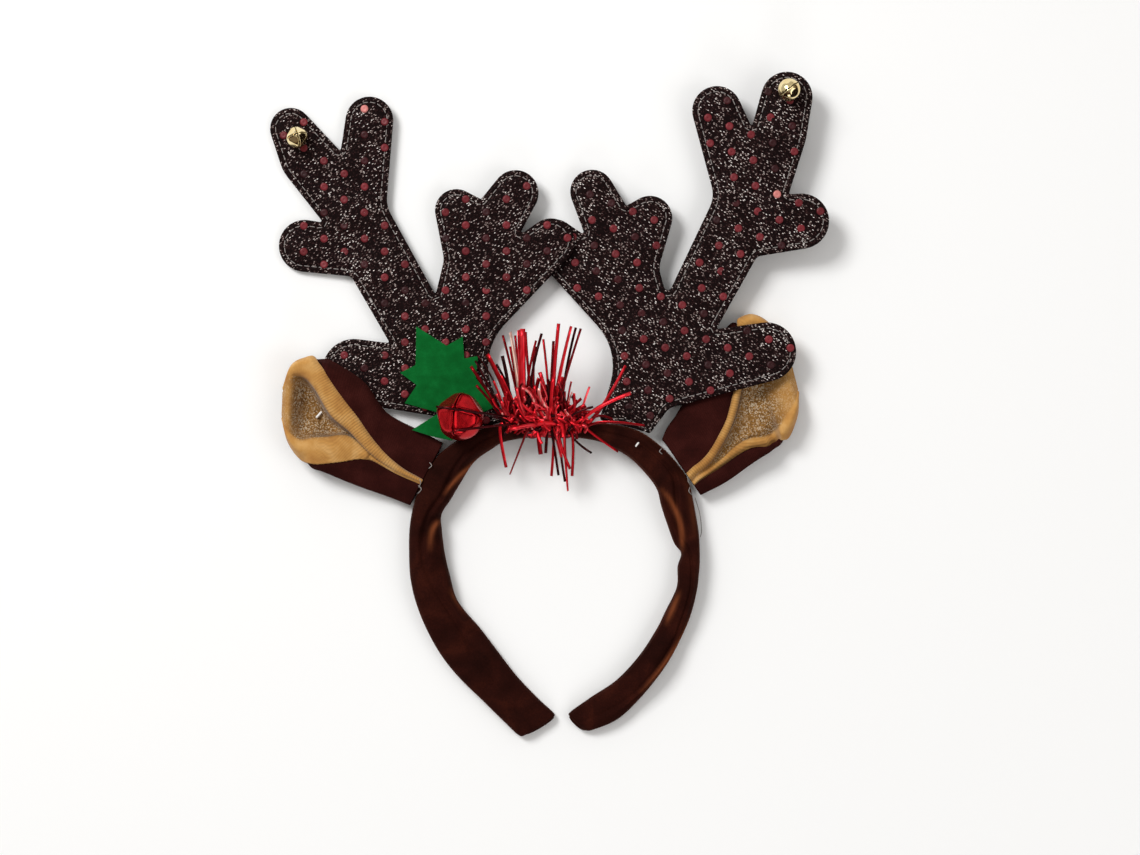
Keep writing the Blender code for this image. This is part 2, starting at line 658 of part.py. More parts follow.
def tinsel(where, helpers):
    """Strips of foil that burst from the saddle, joined to it as one solid."""
    rings, root_height = saddle_rings()
    obj = lofted_solid("tinsel", rings, where, "red_foil")
    table = row_table(STRIP_COLUMNS, TINSEL_STRIPS)
    for i in range(len(TINSEL_STRIPS)):
        tip = (table["tip_x"][i], table["tip_y"][i], table["tip_z"][i])
        root_x = np.clip(2.2 + 0.32 * (tip[0] - 2.2), -10.0, 15.0)
        root_y = -9.6 + 1.2 * np.sign(tip[1] + 9.6)
        root = (root_x, root_y, root_height + 0.03 * (i % 5))
        shape = lofted_solid(f"strip {i + 1}", strip_rings(tip, table["width"][i], root), helpers, None)
        shape.hide_render = True
        shape.display_type = "WIRE"
        join = obj.modifiers.new(shape.name, "BOOLEAN")
        join.operation = "UNION"
        join.solver = "EXACT"
        join.object = shape
    return obj


def main():
    clear_scene()
    where = new_collection("reindeer antler headband")
    helpers = new_collection("cutters", helper=True)
    headband(where)
    antler("left_antler", LEFT_ANTLER_DISCS, LEFT_ANTLER_PIVOT, LEFT_ANTLER_TILT, where)
    antler("right_antler", RIGHT_ANTLER_DISCS, RIGHT_ANTLER_PIVOT, RIGHT_ANTLER_TILT, where)
    ears(where)
    leaf_top = holly(where)
    bells(leaf_top, where, helpers)
    tinsel(where, helpers)


main()
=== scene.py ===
# %% [markdown]
# # A reindeer antler headband, lying on a table
#
# The real thing is a hair hoop wrapped in brown velvet. Two stuffed antlers of glittery
# sequin cloth and two ears of brown and tan knit are sewn to it, with felt holly leaves,
# three jingle bells and a burst of red tinsel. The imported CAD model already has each
# piece's size and place. This lesson dresses those pieces one after another.

import math

import bmesh
import bpy
import numpy as np
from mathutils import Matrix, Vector
from mathutils.geometry import delaunay_2d_cdt


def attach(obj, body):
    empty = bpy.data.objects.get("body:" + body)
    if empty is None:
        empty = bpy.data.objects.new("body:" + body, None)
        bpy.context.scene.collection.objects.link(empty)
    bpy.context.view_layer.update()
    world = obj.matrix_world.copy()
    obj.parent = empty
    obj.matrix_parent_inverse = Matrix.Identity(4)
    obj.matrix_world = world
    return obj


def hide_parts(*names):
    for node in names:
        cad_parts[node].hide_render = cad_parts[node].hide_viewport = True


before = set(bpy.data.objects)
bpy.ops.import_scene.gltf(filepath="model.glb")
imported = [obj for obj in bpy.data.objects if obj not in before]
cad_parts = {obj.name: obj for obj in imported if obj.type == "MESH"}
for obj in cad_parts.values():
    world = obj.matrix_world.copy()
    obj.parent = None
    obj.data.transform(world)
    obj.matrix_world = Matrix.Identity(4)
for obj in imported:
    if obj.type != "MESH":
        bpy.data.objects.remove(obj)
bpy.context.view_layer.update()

# %% [markdown]
# The photograph looks straight down on the headband, so the camera hangs above it. A long
# lens keeps the view nearly flat, and its height follows from how much of the table the
# picture shows.

# %% Camera
MM = 0.001
LENS, SENSOR = 85.0, 36.0
PICTURE_WIDTH = 463.5  # mm of the table across the whole picture
PICTURE_CENTRE = (9.15, -9.15)  # mm
OBJECT_HEIGHT = 8.0  # mm, about the middle of the antlers

camera_height = PICTURE_WIDTH * LENS / SENSOR + OBJECT_HEIGHT
camera_data = bpy.data.cameras.new("camera")
camera_data.lens = LENS
camera_data.sensor_width = SENSOR
camera_data.clip_start = 0.05
camera_data.clip_end = 20.0
camera = bpy.data.objects.new("camera", camera_data)
camera.location = Vector((*PICTURE_CENTRE, camera_height)) * MM
bpy.context.scene.collection.objects.link(camera)
bpy.context.scene.camera = camera
print(f"camera {camera_height:.0f} mm above the table")

# %% [markdown]
# Soft studio light comes from three large lamps. The strongest stands at the upper left, a
# weaker one opposite fills the shadows, and the weakest shines in low from the near side.
# A pale floor throws light back up.

# %% Floor and light
FLOOR_SIDE = 6.0  # m
BRIGHT_SIDE = (-0.33, 0.68, 0.65)
SKY_STRENGTH = 0.56


def linear(hex_colour):
    """A web colour as the four linear numbers Blender wants: each channel is raised to
    the power 2.4 after the sRGB offset, or divided by 12.92 where it is very dark."""
    channels = np.array([int(hex_colour[i : i + 2], 16) for i in (1, 3, 5)]) / 255
    light = np.where(channels <= 0.04045, channels / 12.92, ((channels + 0.055) / 1.055) ** 2.4)
    return (*(float(c) for c in light), 1.0)


def new_material(name, colour, roughness, **settings):
    """A Principled material. Settings are the shader's own sockets, with _ for spaces."""
    made = bpy.data.materials.new(name)
    made.use_nodes = True
    shader = made.node_tree.nodes["Principled BSDF"]
    shader.inputs["Base Color"].default_value = linear(colour)
    shader.inputs["Roughness"].default_value = roughness
    for socket, value in settings.items():
        shader.inputs[socket.replace("_", " ").title().replace("Ior", "IOR")].default_value = value
    return made, made.node_tree, shader


def add_node(tree, kind, sockets=None, **settings):
    """Adds a shader node, sets its options, and fills sockets with values or with links."""
    made = tree.nodes.new("ShaderNode" + kind)
    for option, value in settings.items():
        setattr(made, option, value)
    for socket, value in (sockets or {}).items():
        if isinstance(value, bpy.types.NodeSocket):
            tree.links.new(value, made.inputs[socket])
        else:
            made.inputs[socket].default_value = value
    return made


def ramp(tree, value, stops):
    """A value from 0 to 1 turned into a colour, by (position, hex colour) stops."""
    made = add_node(tree, "ValToRGB", {"Fac": value})
    elements = made.color_ramp.elements
    while len(elements) < len(stops):
        elements.new(0.5)
    for element, (position, colour) in zip(elements, stops):
        element.position = position
        element.color = linear(colour)
    return made.outputs[0]


def mix(tree, share, first, second):
    """1 minus the share of the first plus the share of the second: links or hex colours."""
    first, second = (linear(side) if isinstance(side, str) else side for side in (first, second))
    return add_node(tree, "MixRGB", {"Fac": share, "Color1": first, "Color2": second}).outputs[0]


def rescale(tree, value, low, high, first=0.0, last=1.0):
    """Values from low to high turned into values from first to last, and held beyond."""
    sockets = {"Value": value, "From Min": low, "From Max": high, "To Min": first, "To Max": last}
    return add_node(tree, "MapRange", sockets).outputs[0]


def noise(tree, size, detail, **sockets):
    """Cloudy noise from 0 to 1 in the object's own space, in lumps of about size mm."""
    place = add_node(tree, "TexCoord").outputs["Object"]
    return add_node(tree, "TexNoise", {"Vector": place, "Scale": 1 / (size * MM), "Detail": detail,
                                       **sockets}).outputs["Fac"]


def mark(tree, name):
    """A number that add_piece stored for each point."""
    return add_node(tree, "Attribute", attribute_name=name).outputs["Fac"]


def colour_and_bump(tree, shader, colour, height, strength, depth):
    """Links the shader's colour, and a bump of that strength and depth in mm."""
    tree.links.new(colour, shader.inputs["Base Color"])
    bump = add_node(tree, "Bump", {"Height": height, "Strength": strength, "Distance": depth * MM})
    tree.links.new(bump.outputs[0], shader.inputs["Normal"])


def add_lamp(name, place, size, watts, target=(0.0, 0.0, 0.0)):
    """A square area lamp that faces the target, both in metres."""
    data = bpy.data.lights.new(name, "AREA")
    data.size = size
    data.energy = watts
    lamp = bpy.data.objects.new(name, data)
    lamp.location = place
    lamp.rotation_euler = (Vector(target) - Vector(place)).to_track_quat("-Z", "Y").to_euler()
    bpy.context.scene.collection.objects.link(lamp)


add_lamp("key", (-0.75, 0.75, 1.15), 0.55, 17.5)
add_lamp("fill", (0.95, -0.35, 0.95), 0.9, 4.6)
add_lamp("low", (0.1, -1.2, 0.55), 0.6, 2.7)


def studio_sky():
    """Bright above and beyond the object, dark and warm like a wooden room on the near
    side: the dot product of the direction with BRIGHT_SIDE goes through a ramp. Polished
    metal needs that contrast."""
    made = bpy.data.worlds.new("studio")
    made.use_nodes = True
    tree = made.node_tree
    direction = add_node(tree, "TexCoord").outputs["Generated"]
    facing = add_node(tree, "VectorMath", {0: direction, 1: BRIGHT_SIDE}, operation="DOT_PRODUCT")
    share = rescale(tree, facing.outputs["Value"], -0.2, 0.75)
    sky = ramp(tree, share, [(0.0, "#1A0E08"), (0.35, "#6E5240"), (0.7, "#F4F3F0"), (1.0, "#FFFFFF")])
    background = tree.nodes["Background"].inputs
    tree.links.new(sky, background["Color"])
    background["Strength"].default_value = SKY_STRENGTH
    return made


bpy.context.scene.world = studio_sky()
bpy.context.scene.view_settings.view_transform = "Standard"  # shows the colours as they are set

paper, _, _ = new_material("matt white table paper", "#F7F7F6", 0.9)
bpy.ops.mesh.primitive_plane_add(size=FLOOR_SIDE, location=(0, 0, 0))
floor = bpy.context.object
floor.name = "floor"
floor.data.materials.append(paper)

# %% [markdown]
# Most pieces here are surfaces worked out as grids of points. These helpers turn such
# arrays into meshes. Points are in millimetres until the mesh is made.

# %% Helpers for grids and curves
def smooth_rows(rows, steps):
    """Rows between the given ones, on Catmull-Rom curves: each new row is a cubic mix of
    the two rows around it and the two beyond those."""
    rows = np.array(rows, float)
    ends = np.vstack([2 * rows[0] - rows[1], rows, 2 * rows[-1] - rows[-2]])
    at = np.arange((len(rows) - 1) * steps + 1) / steps
    i = np.minimum(at.astype(int), len(rows) - 2)
    t = (at - i)[:, None]
    a, b, c, d = (ends[i + k] for k in range(4))
    return 0.5 * (
        2 * b + (c - a) * t + (2 * a - 5 * b + 4 * c - d) * t**2 + (3 * b - a - 3 * c + d) * t**3
    )


def grid_faces(rows, columns, wrap=False, first=0):
    """The quads between neighbouring points of a grid, counted row by row."""
    across = columns if wrap else columns - 1
    i, j = np.meshgrid(np.arange(rows - 1), np.arange(across), indexing="ij")
    right = (j + 1) % columns
    near, far = i * columns, (i + 1) * columns
    return np.stack([near + j, near + right, far + right, far + j], -1).reshape(-1, 4) + first


def ripples(x, y, length, seed, waves=8):
    """Soft lumps between about -1 and 1: plane waves of roughly that length in random
    directions, added up and divided by the square root of half their number."""
    draw = np.random.default_rng(seed)
    turn = draw.uniform(0, 2 * np.pi, waves)
    start = draw.uniform(0, 2 * np.pi, waves)
    longer = length * draw.uniform(0.7, 1.5, waves)
    along = x[..., None] * np.cos(turn) + y[..., None] * np.sin(turn)
    return np.sin(2 * np.pi * along / longer + start).sum(-1) / math.sqrt(waves / 2)


def ease(x):
    """0 below 0, 1 above 1, and 3x squared minus 2x cubed between."""
    x = np.clip(x, 0, 1)
    return x * x * (3 - 2 * x)


WELD_GAP = 0.004  # mm


def add_piece(name, points, faces, finish, node=None, weld=False, marks=None, uv=None):
    """A smooth mesh object from points in mm and rows of point numbers, riding on the
    headband. marks are named numbers, one for each point, that the materials read."""
    mesh = bpy.data.meshes.new(name)
    blocks = faces if isinstance(faces, list) else [faces]
    rows = [row for block in blocks for row in block.tolist()]
    mesh.from_pydata((np.asarray(points, float) * MM).tolist(), [], rows)
    for title, values in (marks or {}).items():
        stored = mesh.attributes.new(title, "FLOAT", "POINT").data
        stored.foreach_set("value", np.asarray(values, np.float32))
    if uv is not None:
        layer = mesh.uv_layers.new(name="UVMap")
        corners = np.zeros(len(mesh.loops), np.int32)
        mesh.loops.foreach_get("vertex_index", corners)
        layer.data.foreach_set("uv", np.asarray(uv, np.float32)[corners].ravel())
    if weld:
        shape = bmesh.new()
        shape.from_mesh(mesh)
        bmesh.ops.remove_doubles(shape, verts=shape.verts, dist=WELD_GAP * MM)
        bmesh.ops.recalc_face_normals(shape, faces=shape.faces)
        shape.to_mesh(mesh)
        shape.free()
    mesh.polygons.foreach_set("use_smooth", np.ones(len(mesh.polygons), bool))
    mesh.materials.append(finish)
    piece = bpy.data.objects.new(name, mesh)
    bpy.context.scene.collection.objects.link(piece)
    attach(piece, "root")
    if node:
        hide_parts(node)
    print(f"{name}: {len(mesh.vertices)} points, {len(mesh.polygons)} faces")
    return piece


def add_wall(piece, thickness, offset=0.0):
    """Gives an open sheet its thickness in mm."""
    wall = piece.modifiers.new("wall", "SOLIDIFY")
    wall.thickness = thickness * MM
    wall.offset = offset


# %% [markdown]
# ## The antlers' outline
#
# Each antler's edge is the line that a string would take round a row of discs: rounded
# tines are discs inside the string, notches are discs that it passes on the other side.
# Moving the string inward by a few millimetres gives the seam and the stitching line.

# %% Outline of an antler
OUTLINE_STEP = 1.6  # mm between points on the straight runs
ARC_STEP = math.radians(9)

# x, y, radius in mm, clockwise. A negative radius is a notch or a hollow.
LEFT_ANTLER_DISCS = [
    (-105.1, 113.0, 8.5),  # outer tine, with a gold bell
    (-85.0, 104.9, -0.6),  # notch
    (-72.8, 116.1, 9.8),  # upper tine
    (-53.4, 84.0, -12.2),  # waist
    (-45.9, 46.4, -0.6),  # notch
    (-52.6, 59.6, -10.2),  # hollow of the inner branch
    (-37.2, 79.3, 8.7),  # inner branch
    (-27.2, 84.6, -0.6),  # notch
    (-13.0, 86.2, 9.4),  # third tine
    (-10.0, 70.7, -0.6),  # notch
    (1.4, 66.3, 9.6),  # crossing tine
    (0.2, 15.9, -24.4),  # stem, inner side
    (-18.4, -5.6, 1.2),  # base, inner corner
    (-13.5, -50.8, -43.6),  # base, over the hoop
    (-38.0, -12.3, 1.2),  # base, outer corner
    (-46.6, -10.6, -6.1),  # stem, outer side
    (-79.1, 14.0, 13.0),  # lowest lobe
    (-65.5, 26.0, -0.6),  # notch
    (-82.2, 49.4, -3.3),  # beam meets side lobe
    (-99.4, 65.1, 10.6),  # side lobe
    (-93.1, 75.4, -0.6),  # notch
    (-93.3, 103.7, 16.8),  # swell of the outer edge
]
RIGHT_ANTLER_DISCS = [
    (68.9, 119.5, 10.0),  # upper tine
    (82.9, 114.3, -0.6),  # notch
    (97.2, 124.6, 10.4),  # outer tine, with a gold bell
    (88.8, 111.0, 16.5),  # swell of the outer edge
    (98.8, 86.0, -0.6),  # notch
    (103.1, 74.4, 11.2),  # side lobe
    (87.3, 57.2, -3.3),  # beam meets side lobe
    (69.7, 31.5, -0.6),  # notch
    (89.0, 21.5, 12.0),  # lowest lobe
    (52.9, -6.2, -5.7),  # stem, outer side
    (41.3, -10.2, 1.2),  # base, outer corner
    (19.9, -52.8, -45.9),  # base, over the hoop
    (22.6, -5.2, 1.2),  # base, inner corner
    (2.2, 15.9, -24.4),  # stem, inner side
    (2.4, 66.3, 9.6),  # crossing tine
    (14.0, 70.7, -0.6),  # notch
    (18.1, 87.0, 8.9),  # third tine
    (32.3, 81.9, -0.6),  # notch
    (41.7, 76.0, 9.1),  # inner branch
    (56.1, 55.7, -10.4),  # hollow of the inner branch
    (49.0, 48.4, -1.6),  # notch
    (55.0, 85.6, -12.2),  # waist
]


def string_round_discs(discs, inset):
    """Points of a string drawn clockwise round the discs, moved inward by inset. Where it
    leaves disc i for disc j its normal is turned from their centre line by the angle
    whose sine is the difference of the radii over the distance. Every inset gives the
    same number of points, so that the outlines can be joined into a skin."""
    discs = np.array(discs)
    centres, radii = discs[:, :2], discs[:, 2]
    inside = np.where(radii > 0, np.maximum(radii - inset, 0.1), radii - inset)
    across = np.roll(centres, -1, axis=0) - centres
    lean = np.arcsin((np.roll(radii, -1) - radii) / np.linalg.norm(across, axis=1))
    facing = np.arctan2(across[:, 1], across[:, 0]) - np.pi / 2 + lean
    back = np.roll(facing, 1)
    sweep = np.where(radii > 0, -((back - facing) % (2 * np.pi)), (facing - back) % (2 * np.pi))
    steps = np.maximum(1, np.ceil(np.abs(sweep) / ARC_STEP)).astype(int)
    runs = np.linalg.norm(across, axis=1) - np.abs(radii)
    gaps = np.maximum(1, np.ceil(runs / OUTLINE_STEP)).astype(int)
    arcs = []
    for i in range(len(discs)):
        angle = back[i] + sweep[i] * np.linspace(0, 1, steps[i] + 1)[:, None]
        arcs.append(centres[i] - inside[i] * np.hstack([np.cos(angle), np.sin(angle)]))
    outline = []
    for i in range(len(discs)):
        start, end = arcs[i][-1], arcs[(i + 1) % len(discs)][0]
        along = np.arange(1, gaps[i])[:, None] / gaps[i]
        outline.append(np.vstack([arcs[i], start + along * (end - start)]))
    return np.vstack(outline)


def inside_outline(points, outline):
    """True for points inside the closed outline: a level ray crosses it an odd number of times."""
    x, y = points[:, 0, None], points[:, 1, None]
    ax, ay = outline.T
    bx, by = np.roll(outline, -1, axis=0).T
    with np.errstate(divide="ignore", invalid="ignore"):
        crossing = ((ay > y) != (by > y)) & (x < ax + (y - ay) * (bx - ax) / (by - ay))
    return crossing.sum(axis=1) % 2 == 1


def distance_to(points, outline):
    """Each point's distance to the nearest point of the outline."""
    nearest = np.full(len(points), np.inf)
    for block in np.array_split(outline, max(1, len(outline) // 60)):
        gaps = np.linalg.norm(points[:, None] - block[None], axis=2).min(axis=1)
        nearest = np.minimum(nearest, gaps)
    return nearest


left_edge = string_round_discs(LEFT_ANTLER_DISCS, 0.0)
print("left antler:", len(left_edge), "points, width", round(float(np.ptp(left_edge[:, 0])), 1), "mm")

# %% [markdown]
# ## Sequin cloth
#
# The antlers are cut from knitted lurex: a dark brown ground with flat metallic threads
# that surface as short silver dashes, in slanting rows. A stretched cell pattern gives the
# dashes. Each cell has its own random brightness, so some threads glint and others sink.

# %% Sequin cloth material
DASH_PITCH = 1.2  # mm between dashes along a row
ROW_PITCH = 0.5  # mm between rows
SPECK = 0.8  # mm, brown flecks between the dashes


def lurex_cloth(name, slant):
    """Dark knitted cloth with silver threads that slant by that many degrees."""
    made, tree, shader = new_material(name, "#1C1213", 0.8, specular_ior_level=0.06)
    place = add_node(tree, "TexCoord").outputs["Object"]
    turned = add_node(tree, "Mapping", {
        "Vector": place,
        "Rotation": (0, 0, math.radians(slant)),
        "Scale": (DASH_PITCH * MM, ROW_PITCH * MM, 1.0),
    }, vector_type="TEXTURE")
    cells = add_node(tree, "TexVoronoi", {"Vector": turned.outputs[0], "Scale": 1.0, "Randomness": 0.75},
                     voronoi_dimensions="2D")
    dash = rescale(tree, cells.outputs["Distance"], 0.25, 0.34, 1.0, 0.0)
    patches = noise(tree, 9.0, 2.0)
    even = rescale(tree, patches, 0.0, 1.0, 0.6, 1.1)
    glint = add_node(tree, "Math", {0: cells.outputs["Color"], 1: even}, operation="MULTIPLY").outputs[0]
    shown = ramp(tree, glint, [(0.40, "#0E0707"), (0.54, "#35211F"), (0.66, "#A8958F"), (0.80, "#FFF6F0")])
    specks = add_node(tree, "TexVoronoi", {"Vector": place, "Scale": 1 / (SPECK * MM), "Randomness": 1.0})
    speck = rescale(tree, specks.outputs["Distance"], 0.16, 0.24, 1.0, 0.0)
    ground = mix(tree, speck, mix(tree, patches, "#0C0505", "#1C0E0E"), "#4A2E2E")
    colour_and_bump(tree, shader, mix(tree, dash, ground, shown), dash, 0.5, 0.15)
    tree.links.new(rescale(tree, dash, 0.0, 1.0, 0.9, 0.4), shader.inputs["Roughness"])
    return made


def sequin_foil():
    """Dark red foil discs. The tint mark paints shade on some, as if tilted away, and a pale glint on a
    few.
    """
    made, tree, shader = new_material("dark red sequin foil", "#7E2C32", 0.4, metallic=0.1,
                                      specular_ior_level=0.25)
    shade = ramp(tree, mark(tree, "tint"),
                 [(0.0, "#240709"), (0.4, "#461216"), (0.85, "#78242A"), (1.0, "#C87A74")])
    tree.links.new(shade, shader.inputs["Base Color"])
    return made


stitch_thread, _, _ = new_material("grey polyester sewing thread", "#8F8884", 0.7)
left_cloth = lurex_cloth("lurex knit slanting right", 30.0)
right_cloth = lurex_cloth("lurex knit slanting left", -32.0)
sequin_finish = sequin_foil()

# %% [markdown]
# ## The padded antlers
#
# An antler is two cloths sewn round the edge, turned, stuffed with thin wadding and
# stitched again a little inside the edge. So its section climbs steeply from the seam,
# dips at the stitching and then rises to the flat, slightly lumpy front. The rim is a skin
# over moved-in outlines. The front and back are filled with triangles over even points.

# %% Antlers
HALF_THICK = 1.6  # mm, from the middle of the panel to its front
STITCH_INSET = 2.4
CAP_INSET = 5.0
FILL_STEP, FILL_MARGIN = 1.5, 0.8
LUMP_LENGTH, LUMP_HEIGHT = 22.0, 0.32

# outline, the foot of the stem in mm, the slope towards +X in degrees, and the lumps' seed
ANTLERS = {
    "left": (LEFT_ANTLER_DISCS, (-27.4, -10.0, 6.2), 3.1, 11),
    "right": (RIGHT_ANTLER_DISCS, (31.5, -8.0, 6.5), 4.5, 23),
}
# how far in from the edge, and the height above the panel's middle, in mm
RIM = [
    (0.00, 0.20), (0.10, 0.55), (0.45, 0.88), (1.10, 1.20), (1.75, 1.24), (2.15, 1.02),
    (2.40, 0.80), (2.65, 1.04), (3.10, 1.34), (3.90, 1.52), (5.00, 1.60),
]


def fill_outline(outline, step, margin):
    """Even points inside an outline, and the triangles that join them to it. The points
    are rows of a triangular lattice that keep the margin from the edge."""
    low, high = outline.min(axis=0), outline.max(axis=0)
    rise = step * math.sqrt(3) / 2
    rows = np.arange(low[1], high[1], rise)
    columns = np.arange(low[0] - step, high[0] + step, step)
    y, x = np.meshgrid(rows, columns, indexing="ij")
    x = x + np.where(np.arange(len(rows)) % 2, step / 2, 0.0)[:, None]
    lattice = np.column_stack([x.ravel(), y.ravel()])
    lattice = lattice[inside_outline(lattice, outline)]
    lattice = lattice[distance_to(lattice, outline) > margin]
    points = np.vstack([outline, lattice])
    loop = list(range(len(outline)))
    found = delaunay_2d_cdt([Vector(p) for p in points.tolist()], [], [loop], 1, 1e-6)
    flat = np.array([(p.x, p.y) for p in found[0]])
    return flat, np.array(found[2])


def tilted(points, pivot, tilt):
    """Turns points about the level line through the pivot, so that +X rises by tilt degrees."""
    c, s = math.cos(math.radians(tilt)), math.sin(math.radians(tilt))
    x, z = points[:, 0], points[:, 2]
    return np.column_stack([pivot[0] + x * c - z * s, pivot[1] + points[:, 1], pivot[2] + x * s + z * c])


def panel_height(x, y, edge_distance, seed):
    """Half thickness of the stuffed panel, lumpy away from its edge."""
    return HALF_THICK + LUMP_HEIGHT * ripples(x, y, LUMP_LENGTH, seed) * ease((edge_distance - 2) / 9)


def antler(side_name, cloth):
    """Skin of rim outlines from the back, round the seam, to the front, with two fills."""
    discs, pivot, tilt, seed = ANTLERS[side_name]
    shift = np.array(pivot[:2])
    edge = string_round_discs(discs, 0.0)
    rings = []
    for side, rows in ((-1, RIM[::-1]), (1, RIM)):
        for inset, height in rows:
            outline = string_round_discs(discs, inset)
            full = panel_height(*outline.T, distance_to(outline, edge), seed + side)
            rings.append(np.column_stack([outline - shift, side * height * full / HALF_THICK]))
    points = [np.vstack(rings)]
    faces = [grid_faces(len(rings), len(edge), wrap=True)]
    flat, triangles = fill_outline(string_round_discs(discs, CAP_INSET), FILL_STEP, FILL_MARGIN)
    for side in (-1, 1):
        height = side * panel_height(*flat.T, distance_to(flat, edge), seed + side)
        faces.append(triangles + sum(len(block) for block in points))
        points.append(np.column_stack([flat - shift, height]))
    piece = add_piece(f"{side_name}_antler_cloth", tilted(np.vstack(points), pivot, tilt), faces, cloth,
                      node=f"{side_name}_antler", weld=True)


antler("left", left_cloth)
antler("right", right_cloth)

# %% [markdown]
# The seam is topstitched in grey thread: one row of stitches a little inside the edge, on
# the front and on the back. One stitch is a short rounded rod, and it is copied along the
# line at an even pitch, turned to follow it.

# %% Stitches
STITCH_LENGTH, STITCH_WIDTH, STITCH_PITCH = 2.3, 0.36, 3.0
STITCH_LIFT = 0.16


def rod(length, width, around=6):
    """A rounded rod along X: rings whose radius is a quarter circle at each end."""
    x = np.array([-0.5, -0.46, -0.34, 0.34, 0.46, 0.5]) * length
    radius = np.array([0.05, 0.7, 1.0, 1.0, 0.7, 0.05]) * width / 2
    turn = 2 * np.pi * np.arange(around) / around
    points = np.stack([
        np.repeat(x[:, None], around, 1),
        radius[:, None] * np.cos(turn),
        radius[:, None] * np.sin(turn),
    ], -1).reshape(-1, 3)
    return points, grid_faces(len(x), around, wrap=True)


def along_line(line, pitch):
    """Places every pitch mm on a closed line, and its direction there."""
    closed = np.vstack([line, line[:1]])
    run = np.concatenate([[0], np.cumsum(np.linalg.norm(np.diff(closed, axis=0), axis=1))])
    count = int(run[-1] / pitch)
    at = (np.arange(count) + 0.5) * run[-1] / count
    place = np.column_stack([np.interp(at, run, closed[:, k]) for k in (0, 1)])
    ahead = np.column_stack([np.interp((at + 0.5) % run[-1], run, closed[:, k]) for k in (0, 1)])
    return place, (ahead - place) / np.linalg.norm(ahead - place, axis=1)[:, None]


def stitches(side_name):
    """Copies of the rod on both faces, sunk a little into the stitched groove."""
    discs, pivot, tilt, seed = ANTLERS[side_name]
    edge = string_round_discs(discs, 0.0)
    place, heading = along_line(string_round_discs(discs, STITCH_INSET), STITCH_PITCH)
    one, one_faces = rod(STITCH_LENGTH, STITCH_WIDTH)
    across = np.column_stack([-heading[:, 1], heading[:, 0]])
    points = []
    for side in (-1, 1):
        full = panel_height(*place.T, distance_to(place, edge), seed + side)
        height = side * (dict(RIM)[STITCH_INSET] * full / HALF_THICK + STITCH_LIFT)
        flat = place[:, None] + one[None, :, :1] * heading[:, None] + one[None, :, 1:2] * across[:, None]
        points.append(np.dstack([flat - np.array(pivot[:2]), height[:, None] + one[None, :, 2]]))
    points = np.concatenate(points)
    faces = (one_faces[None] + np.arange(len(points))[:, None, None] * len(one)).reshape(-1, 4)
    add_piece(f"{side_name}_antler_stitches", tilted(points.reshape(-1, 3), pivot, tilt), faces,
              stitch_thread)


stitches("left")
stitches("right")

# %% [markdown]
# Sequins are thin dished discs glued to the cloth in a slanting lattice, the same on front
# and back. Each tips a little its own way. Some are painted darker as shade, a few paler as a glint.

# %% Sequins
SEQUIN_RADIUS, SEQUIN_SIDES = 1.6, 18
SEQUIN_RISE, SEQUIN_DISH = 0.14, 0.12
SEQUIN_MARGIN = 2.2  # mm from the edge
SEQUIN_GLUE = 0.06  # mm under each disc
SEQUIN_TIP = 0.045  # slope, rise over run
PAINTED_SHADE_SHARE, BRIGHT_SHARE = 0.3, 0.015
LATTICE_REACH = 14


def sequins(side_name, origin, column, row):
    """One disc, of four rings, at each lattice place inside the outline."""
    discs, pivot, tilt, seed = ANTLERS[side_name]
    edge = string_round_discs(discs, 0.0)
    draw = np.random.default_rng(seed + 100)
    steps = np.arange(-LATTICE_REACH, LATTICE_REACH + 1)
    i, j = np.meshgrid(steps, steps, indexing="ij")
    place = np.array(origin) + i.reshape(-1, 1) * np.array(column) + j.reshape(-1, 1) * np.array(row)
    place = place[inside_outline(place, edge)]
    place = place[distance_to(place, edge) > SEQUIN_MARGIN]
    away = distance_to(place, edge)
    turn = 2 * np.pi * np.arange(SEQUIN_SIDES) / SEQUIN_SIDES
    circle = np.column_stack([np.cos(turn), np.sin(turn)]) * SEQUIN_RADIUS
    rings = [
        (1.0, 0.0),
        (1.0, SEQUIN_RISE),
        (0.5, SEQUIN_RISE - SEQUIN_DISH * 0.7),
        (0.08, SEQUIN_RISE - SEQUIN_DISH),
    ]
    shape = np.vstack([
        np.column_stack([circle * size, np.full(SEQUIN_SIDES, rise)]) for size, rise in rings
    ])
    faces = grid_faces(len(rings), SEQUIN_SIDES, wrap=True)
    points, tints = [], []
    for side in (-1, 1):
        tip = draw.normal(0, SEQUIN_TIP, (len(place), 2))
        height = panel_height(*place.T, away, seed + side) + SEQUIN_GLUE
        lift = shape[None, :, 2] + (shape[None, :, :2] * tip[:, None]).sum(-1)
        flat = place[:, None] - np.array(pivot[:2]) + shape[None, :, :2]
        points.append(np.dstack([flat, side * (height[:, None] + lift)]))
        # painted shade and glint: chosen at random, not from the disc's tip
        shade_tint = np.where(draw.random(len(place)) < PAINTED_SHADE_SHARE, 0.15, 0.72)
        bright = draw.random(len(place)) < BRIGHT_SHARE
        tints.append(np.where(bright, 1.0, shade_tint + draw.uniform(-0.12, 0.12, len(place))))
    points = np.concatenate(points)
    tint = np.repeat(np.concatenate(tints), len(shape))
    faces = (faces[None] + np.arange(len(points))[:, None, None] * len(shape)).reshape(-1, 4)
    print(len(place), "sequins a side")
    add_piece(f"{side_name}_antler_sequins", tilted(points.reshape(-1, 3), pivot, tilt), faces,
              sequin_finish, weld=True, marks={"tint": tint})


sequins("left", origin=(-82.9, 94.3), column=(8.29, -5.29), row=(0.0, 10.57))
sequins("right", origin=(19.1, 64.9), column=(8.74, -3.50), row=(0.89, -10.37))

# %% [markdown]
# ## Holly leaves
#
# Two leaves are punched out of green acrylic felt, 1.2 mm thick, and lie flat on the left
# antler. Felt has no weave: pressed fibres give it a soft, faintly mottled face.

# %% Felt material
FIBRE = 0.35  # mm


